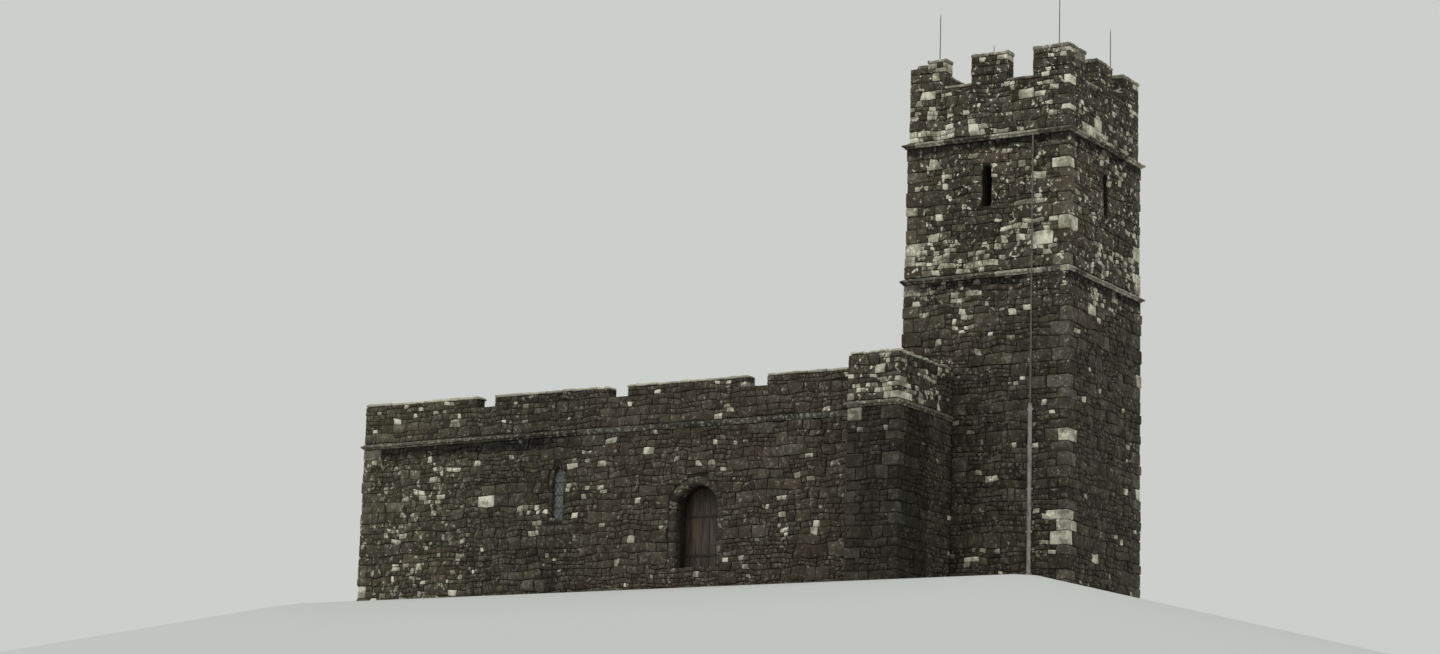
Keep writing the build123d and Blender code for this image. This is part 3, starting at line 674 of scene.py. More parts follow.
def join(target, source):
    """Move the source's geometry into the target."""
    mesh = bpy.data.meshes.new("joining")
    source.to_mesh(mesh)
    source.free()
    target.from_mesh(mesh)
    bpy.data.meshes.remove(mesh)


def paint(bm, tone, pale, faces=None):
    """Give faces the tone and paleness of one stone."""
    tones, pales = bm.faces.layers.float["tone"], bm.faces.layers.float["pale"]
    for face in bm.faces if faces is None else faces:
        face[tones] = tone
        face[pales] = pale


def solid_of(name):
    """Merged copy of a CAD node with its flat faces whole."""
    bm = new_bmesh()
    bm.from_mesh(nodes[name].data)
    bmesh.ops.remove_doubles(bm, verts=bm.verts, dist=1e-5)
    bmesh.ops.dissolve_limit(bm, angle_limit=0.02, verts=bm.verts, edges=bm.edges)
    return bm


def between(x=(None, None), y=(None, None), z=(None, None)):
    """Planes round what lies between two places along each axis; None leaves an end open."""
    limits = []
    for axis, ends in enumerate((x, y, z)):
        for place, sign in zip(ends, (-1, 1)):
            if place is not None:
                point, direction = Vector(), Vector()
                point[axis], direction[axis] = place, sign
                limits.append((point, direction))
    return limits


def cut_all(bm, point, direction, **settings):
    """Cut a whole bmesh by a plane."""
    everything = bm.verts[:] + bm.edges[:] + bm.faces[:]
    return bmesh.ops.bisect_plane(
        bm, geom=everything, dist=1e-6, plane_co=point, plane_no=direction, **settings
    )["geom_cut"]


def part_of(source, limits):
    """Closed part of a solid inside some planes, each given by a point and its outward direction."""
    bm = source.copy()
    for point, direction in limits:
        cut = cut_all(bm, point, direction, clear_outer=True)
        rim = [item for item in cut if isinstance(item, bmesh.types.BMEdge)]
        if rim:
            bmesh.ops.edgeloop_fill(bm, edges=rim)
    return bm


def slice_along(bm, axis, spacing):
    """Add rings of edges across a piece, so that it can bend and wear."""
    values = [vert.co[axis] for vert in bm.verts]
    low, high = min(values), max(values)
    count = int((high - low) / spacing)
    direction = Vector()
    direction[axis] = 1
    for index in range(1, count + 1):
        cut_all(bm, direction * (low + (high - low) * index / (count + 1)), direction)


def sizes_of(verts):
    """Size of a group of vertices along each axis."""
    return [max(values) - min(values) for values in zip(*(vert.co for vert in verts))]


def wander(point):
    """Smooth random shift at a point, the same in every run."""
    return Vector([noise.noise(point + UP * start) for start in (0.0, 31.7, 67.3)])


def weather(bm, rng, bevel, wear, gap=0.003, scale=7.0):
    """Round the arrises of a cut stone, open its joints a little and make its faces uneven."""
    middle = sum((vert.co for vert in bm.verts), Vector()) / len(bm.verts)
    for vert in bm.verts:
        offset = vert.co - middle
        for axis in range(3):
            if abs(offset[axis]) > 3 * gap:
                offset[axis] -= math.copysign(gap, offset[axis])
        vert.co = middle + offset
    sharp = [edge for edge in bm.edges if edge.is_manifold and edge.calc_face_angle(0) > 0.5]
    bmesh.ops.bevel(
        bm, geom=sharp, offset=bevel, offset_type="OFFSET", segments=1, profile=0.5,
        affect="EDGES", clamp_overlap=True, material=-1,
    )
    start = Vector((rng.uniform(0, 50), 0, 0))
    for vert in bm.verts:
        vert.co += wander(vert.co * scale + start) * wear


def placed(along, up, out, place):
    """Matrix that lays X, Y and Z along three directions at a place."""
    matrix = Matrix((along, up, out)).transposed().to_4x4()
    matrix.translation = place
    return matrix


def bar(bm, start, end, width, depth, outward):
    """Straight bar of rectangular section between two points."""
    run = end - start
    side = outward.cross(run).normalized()
    matrix = placed(side * width, outward * depth, run, (start + end) / 2)
    return bmesh.ops.create_cube(bm, size=1.0, matrix=matrix)["verts"]


def rod(bm, start, end, radius, end_radius=None, segments=12):
    """Round bar or cone between two points, with closed ends."""
    turn = (end - start).to_track_quat("Z", "Y").to_matrix().to_4x4()
    bmesh.ops.create_cone(
        bm, cap_ends=True, segments=segments, radius1=radius,
        radius2=radius if end_radius is None else end_radius,
        depth=(end - start).length, matrix=Matrix.Translation((start + end) / 2) @ turn,
    )


def random_of(context, step):
    """Random numbers of one step, from the user's starting number."""
    return random.Random(context.scene.church_stones.seed * 1000 + step)


def levels_between(low, high, rng, shortest, tallest):
    """Random bed levels of courses that fill a height exactly."""
    count = max(1, round((high - low) / ((shortest + tallest) / 2)))
    heights = [rng.uniform(shortest, tallest) for _ in range(count)]
    scale = (high - low) / sum(heights)
    levels = [low]
    for height in heights:
        levels.append(levels[-1] + height * scale)
    levels[-1] = high
    return levels


def loose_parts(name):
    """The separate solids of a CAD node, each as a bmesh of its own."""
    source = solid_of(name)
    source.faces.index_update()
    groups = [None] * len(source.faces)
    count = 0
    for first in source.faces:
        if groups[first.index] is not None:
            continue
        groups[first.index] = count
        reached = [first]
        while reached:
            for edge in reached.pop().edges:
                for face in edge.link_faces:
                    if groups[face.index] is None:
                        groups[face.index] = count
                        reached.append(face)
        count += 1
    parts = [source.copy() for _ in range(count)]
    for number, part in enumerate(parts):
        part.faces.index_update()
        others = [face for face in part.faces if groups[face.index] != number]
        bmesh.ops.delete(part, geom=others, context="FACES")
    source.free()
    return parts


class Cutting:
    """Worn stones, tiles or boards, cut one by one out of a CAD solid and joined in one mesh."""

    def __init__(self, rng, node, bevel, wear, slices=0.13, gap=0.003, shift=0.003):
        self.rng, self.node = rng, node
        self.bevel, self.wear, self.slices, self.gap, self.shift = bevel, wear, slices, gap, shift
        self.source, self.out = solid_of(node), new_bmesh()

    def cut(self, limits, pale, source=None):
        """Add what lies inside the limits as one stone, with a tone of its own."""
        bm = part_of(self.source if source is None else source, limits)
        if not bm.faces:
            bm.free()
            return
        for axis, size in enumerate(sizes_of(bm.verts)[:2]):
            if size > 2 * self.slices:
                slice_along(bm, axis, self.slices)
        weather(bm, self.rng, self.bevel, self.wear, self.gap)
        move = Vector([self.rng.uniform(-self.shift, self.shift) for _ in range(3)])
        bmesh.ops.translate(bm, vec=move, verts=bm.verts)
        paint(bm, self.rng.random(), pale)
        join(self.out, bm)

    def done(self, name, maker, slot, *more_nodes):
        """Make the piece, which stands for the node and for any more that it holds."""
        self.source.free()
        new_piece(name, self.out, maker, slot, self.node, *more_nodes)


# Rubble masonry


class Opening:
    """Door or window outline that the stones of a face keep clear of."""

    def __init__(self, centre, outline, rise=0.0, spare=-0.012):
        half, sill, spring, radius = outline
        self.centre = centre
        self.half_width = half + spare
        self.radius = radius + spare
        self.sill = sill + rise - spare
        self.spring = spring + rise
        self.crown = self.top(0.0)

    def half(self, height):
        """Half the opening's width at a height."""
        if not self.sill <= height <= self.crown:
            return 0.0
        climb = max(0.0, height - self.spring)
        return math.sqrt(max(0.0, self.radius**2 - climb**2)) - (self.radius - self.half_width)

    def top(self, distance):
        """Height of the head at a distance from the middle."""
        reach = distance + self.radius - self.half_width
        return self.spring + math.sqrt(max(0.0, self.radius**2 - reach**2))

    def push(self, point):
        """Move a point that lies in the opening out to its nearest edge."""
        distance = abs(point.x - self.centre)
        half = self.half(point.y)
        if distance >= half:
            return
        sideways, upwards, downwards = half - distance, self.top(distance) - point.y, point.y - self.sill
        if sideways <= min(upwards, downwards):
            point.x = self.centre + math.copysign(half, point.x - self.centre)
        elif upwards < downwards:
            point.y = self.top(distance)
        else:
            point.y = self.sill


class Corner:
    """Long and short quoins that turn one corner of a plan, one in each course."""

    def __init__(self, x, y, at, levels, rng, long=(0.36, 0.50), short=(0.19, 0.27)):
        self.x, self.y = x[at[0]], y[at[1]]
        self.inward = (1 - 2 * at[0], 1 - 2 * at[1])
        self.stones = []
        for index, course in enumerate(pairs(levels)):
            sizes = [rng.uniform(*long), rng.uniform(*short)]
            self.stones.append((course, sizes[::-1] if index % 2 else sizes))

    def margin(self, axis, height):
        """How far the quoin at a height reaches along X or Y."""
        for (low, high), sizes in self.stones:
            if low <= height < high:
                return sizes[axis]
        return 0.0


class Panel:
    """Stretch of wall face between two ends, two corners and over a set of bed levels."""

    def __init__(self, side, plane, ends, levels, corners=(None, None), openings=(), depth=0.012,
                 roof=None, floor=None):
        self.sign = 1 if side in ("north", "west") else -1
        self.axis = 0 if side in ("north", "south") else 1
        self.start, self.end = sorted(self.sign * end for end in ends)
        self.corners = corners[::self.sign]
        self.openings = [Opening(self.sign * centre, *outline) for centre, *outline in openings]
        self.levels, self.depth, self.roof, self.floor = levels, depth, roof, floor
        place = [plane * abs(value) for value in OUTWARD[side]]
        self.matrix = placed(ACROSS[side], UP, OUTWARD[side], place)

    def spans(self, height):
        """Runs of a course that are free of quoins and openings."""
        start, end = (
            place + sign * corner.margin(self.axis, height) if corner else place
            for place, sign, corner in zip((self.start, self.end), (1, -1), self.corners)
        )
        runs = [(start, end)]
        for opening in self.openings:
            half = opening.half(height)
            if half > 0:
                left, right = opening.centre - half, opening.centre + half
                parts = [part for a, b in runs for part in ((a, min(b, left)), (max(a, right), b))]
                runs = [(a, b) for a, b in parts if b - a > 0.06]
        return runs

    def settle(self, point):
        """Keep a stone's corner inside the face and out of its openings."""
        point.x = min(max(point.x, self.start), self.end)
        point.y = min(max(point.y, self.levels[0]), self.levels[-1])
        for opening in self.openings:
            opening.push(point)
        if self.roof:
            point.y = min(point.y, self.roof(self.sign * point.x))
        if self.floor:
            point.y = max(point.y, self.floor(self.sign * point.x))


def pale_share(place):
    """Share of pale stones round a place on the outside."""
    x, y, z = place
    if x > turret.x[0] - 0.02 and y > tower.y[0] - 0.1:
        on_west = x > tower.x[1] - 0.1
        if z <= lower_string.z[0] - 0.9:
            return 0.02 if on_west else 0.05
        share = 0.18
        if z > upper_string.z[1]:
            share = 0.60 if z < upper_string.z[1] + 0.22 else 0.16
        elif z > lower_string.z[1]:
            share = 0.29 if z < lower_string.z[1] + 1.5 else 0.12
        return share * (0.65 if on_west else 1.0)
    if x > turret.x[0] - 0.02:
        return 0.38 if z > turret_string.z[1] else 0.01
    if z > nave_string.z[1]:
        return 0.045
    return 0.12 if x < -6.5 else 0.06 if x < -1.5 else 0.03


class Mason:
    """Lays stones with the user's sizes and the random numbers of one step."""

    least_side = 0.045
    least_cell = 0.0025
    least_stone = 0.0012
    large_stone = 0.012

    def __init__(self, context, number):
        self.stones = context.scene.church_stones
        self.rng = random_of(context, number)
        self.relief = (self.stones.relief_low, self.stones.relief_high)

    def levels(self, low, high, *sizes):
        """Bed levels between two heights, with the user's courses unless sizes are given."""
        sizes = sizes or (self.stones.course_low, self.stones.course_high)
        return levels_between(low, high, self.rng, *sizes)

    def row(self, bm, start, end, low, high):
        """One row of stones with slanting perpends."""
        rng = self.rng
        count = max(1, round((end - start) / ((high - low) * rng.uniform(1.05, 1.75))))
        widths = [rng.uniform(0.6, 1.5) for _ in range(count)]
        places = [start]
        for width in widths:
            places.append(places[-1] + width * (end - start) / sum(widths))
        lean = [0.0] + [rng.uniform(-0.14, 0.14) * (high - low) for _ in range(count - 1)] + [0.0]
        verts = bmesh.ops.create_grid(bm, x_segments=count, y_segments=1, size=0.5)["verts"]
        for index, vert in enumerate(verts):
            row, column = divmod(index, count + 1)
            vert.co = (places[column] + lean[column] * (1 if row else -1), high if row else low, 0)

    def course(self, bm, start, end, low, high):
        """A course, here one stone tall and there two or three."""
        rng, height, place = self.rng, high - low, start
        while place < end - 1e-4:
            length = rng.uniform(0.30, 0.95)
            if end - place - length < 0.25:
                length = end - place
            rows = 1 if rng.random() < self.stones.single_share or height < 0.17 else 2
            if rows == 2 and height > 0.27 and rng.random() < 0.4:
                rows = 3
            for below, above in pairs(self.levels(low, high, 0.75 * height / rows, 1.3 * height / rows)):
                self.row(bm, place, place + length, below, above)
            place += length

    def shape_outlines(self, bm, panel):
        """Turn the cells of a face into separate rounded stones with open joints between them."""
        rng, joint = self.rng, self.stones.joint / 2
        bmesh.ops.split_edges(bm, edges=[edge for edge in bm.edges if not edge.is_boundary])
        corners = set(bm.verts)
        bmesh.ops.bisect_edges(bm, edges=bm.edges[:], cuts=1)
        shift = Vector((rng.uniform(0, 90), rng.uniform(0, 90), 0))
        for vert in bm.verts:
            spare = min(vert.co.x - panel.start, panel.end - vert.co.x)
            hold = min(1.0, max(0.0, (spare - 0.15) / 0.5))
            drift = wander(vert.co * 2.3 + shift) * 0.075 + wander(vert.co * 7 + shift) * 0.02
            vert.co.x += drift.x * hold
            vert.co.y += drift.y * hold
        scraps = []
        for face in bm.faces:
            for vert in face.verts:
                panel.settle(vert.co)
            centre = face.calc_center_median()
            narrowest = min(sizes_of(face.verts)[:2])
            if narrowest < self.least_side or face.calc_area() < self.least_cell:
                scraps.append(face)
                continue
            reach = narrowest / 2
            for vert in face.verts:
                offset, rounded = vert.co - centre, vert in corners
                pull = rng.uniform(0.10, 0.34) * reach if rounded else rng.uniform(-0.03, 0.07) * reach
                for axis in (0, 1):
                    back = joint + pull * (1 if rounded else min(1.0, abs(offset[axis]) / reach))
                    if abs(offset[axis]) > back:
                        offset[axis] -= math.copysign(back, offset[axis])
                vert.co = centre + offset
        bmesh.ops.delete(bm, geom=scraps, context="FACES")
        bmesh.ops.dissolve_degenerate(bm, dist=0.006, edges=bm.edges[:])
        slivers = [face for face in bm.faces if face.calc_area() < self.least_stone]
        bmesh.ops.delete(bm, geom=slivers, context="FACES")
        for items, context in ((bm.edges, "EDGES"), (bm.verts, "VERTS")):
            bmesh.ops.delete(bm, geom=[item for item in items if not item.link_faces], context=context)

    def raise_stones(self, bm, panel, relief):
        """Give each outline its depth, its shoulder and its uneven face."""
        rng, backs = self.rng, bm.faces[:]
        grown = bmesh.ops.extrude_face_region(bm, geom=backs, use_keep_orig=True)["geom"]
        fronts = [item for item in grown if isinstance(item, bmesh.types.BMFace)]
        through = panel.depth > 0.1
        for face in fronts:
            out = rng.uniform(*relief)
            lean = Vector((rng.uniform(-0.07, 0.07), rng.uniform(-0.09, 0.06), 0))
            centre = face.calc_center_median()
            for vert in face.verts:
                vert.co.z = out + lean.dot(vert.co - centre)
        for face in backs:
            back = panel.depth + (rng.uniform(*relief) if through else 0)
            for vert in face.verts:
                vert.co.z = -back
        shown = fronts + backs if through else fronts
        small = [face for face in shown if face.calc_area() < self.large_stone]
        large = [face for face in shown if face.calc_area() >= self.large_stone]
        for faces, width, depth in ((small, 0.009, 0.006), (large, 0.018, 0.010)):
            if faces:
                bmesh.ops.inset_individual(
                    bm, faces=faces, thickness=width, depth=depth, use_even_offset=False
                )
        for face in shown:
            normal = face.normal.copy()
            for vert in face.verts:
                vert.co += normal * noise.noise(vert.co * 16) * 0.007
        for crown in bmesh.ops.poke(bm, faces=shown, offset=0.0)["verts"]:
            crown.co.x += rng.uniform(-0.02, 0.02)
            crown.co.y += rng.uniform(-0.012, 0.012)
            crown.co.z += math.copysign(rng.uniform(-0.003, 0.012), crown.co.z + panel.depth / 2)

    def lay(self, out, *where, relief=None, **how):
        """Lay one panel of wall with stones and add them to a bmesh."""
        panel, rng, bm = Panel(*where, **how), self.rng, new_bmesh()
        for low, high in pairs(panel.levels):
            for start, end in panel.spans((low + high) / 2):
                self.course(bm, start, end, low, high)
        if not bm.faces:
            bm.free()
            return
        self.shape_outlines(bm, panel)
        for face in bm.faces:
            place = panel.matrix @ face.calc_center_median()
            tone = rng.random()
            smallness = 1.5 if face.calc_area() < 0.03 else 0.35
            patchiness = 1.0 + 1.7 * noise.noise(place * 0.8)
            is_pale = rng.random() < pale_share(place) * smallness * patchiness
            paint(bm, tone, rng.uniform(0.3, 1.0) if is_pale else rng.uniform(0.0, 0.06), [face])
        self.raise_stones(bm, panel, relief or self.relief)
        bmesh.ops.transform(bm, matrix=panel.matrix, verts=bm.verts)
        join(out, bm)

    def lay_quoins(self, out, corners):
        """Add blocks that turn some corners and stand a little proud on both faces."""
        rng = self.rng
        for corner in corners:
            for (low, high), (along_x, along_y) in corner.stones:
                proud = rng.uniform(*self.relief) + 0.006
                size = (along_x + proud - 0.008, along_y + proud - 0.008, high - low - self.stones.joint)
                middle = Vector((
                    corner.x + corner.inward[0] * (along_x - proud) / 2,
                    corner.y + corner.inward[1] * (along_y - proud) / 2,
                    (low + high) / 2,
                ))
                bm = new_bmesh()
                matrix = Matrix.Translation(middle) @ Matrix.Diagonal((*size, 1))
                bmesh.ops.create_cube(bm, size=1.0, matrix=matrix)
                slice_along(bm, 0 if along_x > along_y else 1, 0.16)
                weather(bm, rng, rng.uniform(0.012, 0.024), 0.014, 0.0, 5.0)
                pale = rng.random() < pale_share(middle) * 1.2
                paint(bm, rng.random(), rng.uniform(0.5, 1.0) if pale else rng.uniform(0.0, 0.12))
                join(out, bm)


# Properties


def length_property(title, text, value):
    """Length that a user may change."""
    return FloatProperty(name=title, description=text, default=value, unit="LENGTH")


def tone_property(title, text, value):
    """Colour that a user may change."""
    return FloatVectorProperty(
        name=title, description=text, default=value, subtype="COLOR", size=3, min=0, max=1
    )


class ChurchStones(bpy.types.PropertyGroup):
    """Sizes of the rubble masonry."""

    course_low: length_property("Lowest course", "Least height of a course", 0.19)
    course_high: length_property("Tallest course", "Most height of a course", 0.32)
    single_share: FloatProperty(
        name="Full-height stones", description="Share of the courses laid one stone tall",
        default=0.36, min=0, max=1, subtype="FACTOR",
    )
    joint: length_property("Joint", "Width of the joints between stones", 0.010)
    relief_low: length_property("Least relief", "Least that a stone stands out of its mortar", 0.008)
    relief_high: length_property("Most relief", "Most that a stone stands out of its mortar", 0.036)
    seed: IntProperty(
        name="Seed", description="Starting number of the stones' random sizes", default=11, min=0
    )


class ChurchTrim(bpy.types.PropertyGroup):
    """Sizes of dressings, slates and boards."""

    string_stone: length_property("String stone", "Length of a string course stone", 0.62)
    coping_stone: length_property("Coping stone", "Length of a coping stone", 0.55)
    slate_width: length_property("Slate width", "Width of a roof slate", 0.24)
    board_width: length_property("Board width", "Width of a door board", 0.165)
    roll_spacing: length_property("Lead bay", "Width of a lead bay", 0.62)


class ChurchTones(bpy.types.PropertyGroup):
    """Colours of the masonry."""

    dark: tone_property("Dark stone", "Darkest stones", (0.028, 0.0255, 0.0145))
    brown: tone_property("Brown stone", "Brown stones", (0.055, 0.046, 0.026))
    green: tone_property("Green stone", "Stones with green algae", (0.043, 0.043, 0.022))
    light: tone_property("Light stone", "Lightest of the dark stones", (0.088, 0.081, 0.050))
    rust: tone_property("Reddish stone", "Reddish patches", (0.074, 0.046, 0.031))
    quartz: tone_property("Pale stone", "Pale quartz stones", (0.74, 0.72, 0.58))
    lichen: tone_property("Lichen", "Pale crusts of lichen", (0.29, 0.285, 0.21))
    mortar: tone_property("Mortar", "Mortar between the stones outside", (0.064, 0.056, 0.034))
    mortar_dark: tone_property("Old mortar", "Mortar that has gone dark", (0.028, 0.025, 0.015))
    limewash: tone_property("Limewash", "Wash on the walls inside", (0.68, 0.65, 0.57))


# Operators


class CHURCH_OT_tower_walls(bpy.types.Operator):
    """Lay the four faces of the tower, stage by stage, with quoins at their corners"""

    bl_idname = "church.tower_walls"
    bl_label = "Tower walls"

    def execute(self, context):
        mason = Mason(context, 1)
        foot = mason.levels(0.0, lower_string.z[0])
        belfry = mason.levels(lower_string.z[1], upper_string.z[0])
        faces = {side: new_bmesh() for side in OUTWARD}
        quoins = new_bmesh()
        for levels, inset in ((foot, 0.0), (belfry, set_off)):
            x = (tower.x[0] + inset, tower.x[1] - inset)
            y = (tower.y[0] + inset, tower.y[1] - inset)
            is_foot = levels is foot
            lowest = nave_copings.z[1] if is_foot else levels[0]
            east_levels = [level for level in levels if level > lowest - 0.1]
            north_east, south_east, north_west, south_west = corners = [
                Corner(x, y, at, levels if at[0] else east_levels, mason.rng)
                for at in ((0, 0), (0, 1), (1, 0), (1, 1))
            ]
            mason.lay_quoins(quoins, corners)
            slits_x, slits_y = ([] if is_foot else [(sum(ends) / 2, slit_outline)] for ends in (x, y))
            north_parts = [(x, levels, north_east)]
            if is_foot:
                beside = [level for level in levels if level <= lowest + 0.1]
                past_turret = (turret.x[1] + clearance, x[1])
                north_parts = [(past_turret, beside, None), (x, levels[len(beside) - 1:], north_east)]
            for ends, part, first in north_parts:
                mason.lay(faces["north"], "north", y[0], ends, part, (first, north_west), slits_x)
            mason.lay(faces["south"], "south", y[1], x, levels, (south_east, south_west), slits_x)
            mason.lay(faces["west"], "west", x[1], y, levels, (north_west, south_west), slits_y)
            if is_foot:
                levels = [level for level in levels if level > roof_line(y[0]) - 0.3]
            mason.lay(
                faces["east"], "east", x[0], y, levels, (north_east, south_east), slits_y,
                floor=over_slates if is_foot else None,
            )
        for side, bm in faces.items():
            new_piece(f"tower_{side}_stones", bm, rubble_stone, "rubble")
        new_piece("tower_quoins", quoins, rubble_stone, "rubble")
        return {"FINISHED"}


class CHURCH_OT_tower_parapet(bpy.types.Operator):
    """Lay the tower's parapet with stones that go through its thickness"""

    bl_idname = "church.tower_parapet"
    bl_label = "Tower parapet"

    def execute(self, context):
        mason, bm = Mason(context, 2), new_bmesh()
        wall_levels = mason.levels(upper_string.z[1], tower_sills.z[0], *parapet_courses)
        merlon_levels = mason.levels(tower_sills.z[0], tower_copings.z[0], *merlon_courses)
        long_merlons = merlon_spans(parapet.x)
        short = (parapet.y[0] + parapet_wall, parapet.y[1] - parapet_wall)
        short_merlons = [(max(a, short[0]), min(b, short[1])) for a, b in merlon_spans(parapet.y)]
        through = {"depth": parapet_wall, "relief": parapet_relief}
        for side, plane, ends, merlons, lap in (
            ("north", parapet.y[0], parapet.x, long_merlons, end_lap),
            ("south", parapet.y[1], parapet.x, long_merlons, end_lap),
            ("east", parapet.x[0], short, short_merlons, 0.0),
            ("west", parapet.x[1], short, short_merlons, 0.0),
        ):
            mason.lay(bm, side, plane, (ends[0] - lap, ends[1] + lap), wall_levels, **through)
            for low, high in pairs(merlon_levels):
                parts = [((a - merlon_lap, b + merlon_lap), [low, high]) for a, b in merlons]
                if side == "north" and high == merlon_levels[-1]:
                    (start, end), whole = parts[0]
                    worn_x, worn_z = broken_merlon
                    parts[:1] = [((start, worn_x), [low, worn_z]), ((worn_x, end), whole)]
                for span, levels in parts:
                    mason.lay(bm, side, plane, span, levels, **through)
        new_piece("tower_parapet_stones", bm, rubble_stone, "rubble")
        return {"FINISHED"}


class CHURCH_OT_nave_walls(bpy.types.Operator):
    """Lay the nave's side walls, gable wall and west return, with quoins at their corners"""

    bl_idname = "church.nave_walls"
    bl_label = "Nave walls"

    def execute(self, context):
        mason, quoins = Mason(context, 3), new_bmesh()
        levels = mason.levels(0.0, nave_string.z[0])
        north_east, south_east, south_west = corners = [
            Corner(nave.x, nave.y, at, levels, mason.rng) for at in ((0, 0), (0, 1), (1, 1))
        ]
        mason.lay_quoins(quoins, corners)
        new_piece("nave_quoins", quoins, rubble_stone, "rubble")
        openings = [(door_x, door_outline), (lancet_x, lancet_outline)]
        for side, plane, corners in (
            ("north", nave.y[0], (north_east, None)),
            ("south", nave.y[1], (south_east, south_west)),
        ):
            bm = new_bmesh()
            mason.lay(bm, side, plane, nave.x, levels, corners, openings)
            new_piece(f"nave_{side}_stones", bm, rubble_stone, "rubble")
        bm = new_bmesh()
        windows = [(axis_y + shift, lancet_outline, rise) for shift, rise in east_lancets]
        mason.lay(bm, "east", nave.x[0], nave.y, levels, (north_east, south_east), windows)
        inside = (nave.y[0] + nave_parapet_wall, nave.y[1] - nave_parapet_wall)
        gable_levels = mason.levels(nave_string.z[1], gable.z[1], *gable_courses)
        mason.lay(bm, "east", nave.x[0], inside, gable_levels, roof=gable_line)
        verge_levels = mason.levels(nave_string.z[0], roof_line(tower.y[1]), *verge_courses)
        past_tower = tower.y[1] + clearance
        mason.lay(bm, "west", nave.x[1], (past_tower, nave.y[1]), levels, (None, south_west))
        mason.lay(
            bm, "west", nave.x[1], (past_tower, inside[1]), verge_levels, depth=0.05,
            roof=lambda y: roof_line(y) + 0.03,
        )
        new_piece("nave_end_stones", bm, rubble_stone, "rubble")
        return {"FINISHED"}


class CHURCH_OT_nave_parapets(bpy.types.Operator):
    """Lay the nave's parapets with stones that go through their thickness"""

    bl_idname = "church.nave_parapets"
    bl_label = "Nave parapets"

    def execute(self, context):
        mason = Mason(context, 4)
        start, end = nave.x[0] - end_lap, nave.x[1]
        jambs = [crenel + sign * nave_crenel_half for crenel in nave_crenels for sign in (-1, 1)]
        edges = [start, *jambs, end]
        top = [nave_crenel_sill, nave_copings.z[0]]
        through = {"depth": nave_parapet_wall, "relief": course_relief}
        for side, plane in zip(("north", "south"), nave.y):
            bm = new_bmesh()
            levels = mason.levels(nave_string.z[1], nave_crenel_sill + 0.008, *nave_parapet_courses)
            mason.lay(bm, side, plane, (start, end), levels, **through)
            for low, high in zip(edges[0::2], edges[1::2]):
                mason.lay(bm, side, plane, (low - merlon_lap, high + merlon_lap), top, **through)
            new_piece(f"nave_{side}_parapet_stones", bm, rubble_stone, "rubble")
        return {"FINISHED"}


class CHURCH_OT_turret_walls(bpy.types.Operator):
    """Lay the stair turret's three faces"""

    bl_idname = "church.turret_walls"
    bl_label = "Stair turret walls"

    def execute(self, context):
        mason, bm, quoins = Mason(context, 5), new_bmesh(), new_bmesh()
        x, y = turret.x, turret_y
        levels = mason.levels(0.0, turret_string.z[0])
        north_east, north_west = corners = [
            Corner(x, y, (end, 0), levels, mason.rng, (0.30, 0.42), (0.18, 0.24)) for end in (0, 1)
        ]
        mason.lay_quoins(quoins, corners)
        for side, plane, ends, corners in (
            ("north", y[0], x, (north_east, north_west)),
            ("east", x[0], (y[0], nave.y[0] - clearance), (north_east, None)),
            ("west", x[1], (y[0], y[1] - clearance), (north_west, None)),
        ):
            mason.lay(bm, side, plane, ends, levels, corners, relief=course_relief)
        top = mason.levels(turret_string.z[1], Block("turret_coping").z[0], *turret_parapet_courses)
        behind_front = (y[0] + turret_wall, y[1] - 0.01)
        for side, plane, ends, floor in (
            ("north", y[0], (x[0] - end_lap, x[1] + end_lap), None),
            ("west", x[1], behind_front, None),
            ("east", x[0], behind_front, over_slates),
        ):
            mason.lay(bm, side, plane, ends, top, depth=turret_wall, floor=floor, relief=rough_relief)
        new_piece("turret_stones", bm, rubble_stone, "rubble")
        new_piece("turret_quoins", quoins, rubble_stone, "rubble")
        return {"FINISHED"}


def ring_cells(x, y, corner, runs_x, runs_y):
    """Stretches along X and Y of a square course's corner stones and of the straight ones between."""
    ends_x, ends_y = (((None, low + corner), (high - corner, None)) for low, high in (x, y))
    cells = [(end_x, end_y) for end_x in ends_x for end_y in ends_y]
    cells += [(run, half) for run in pairs(runs_x) for half in halves(sum(y) / 2)]
    return cells + [(half, run) for run in pairs(runs_y) for half in halves(sum(x) / 2)]


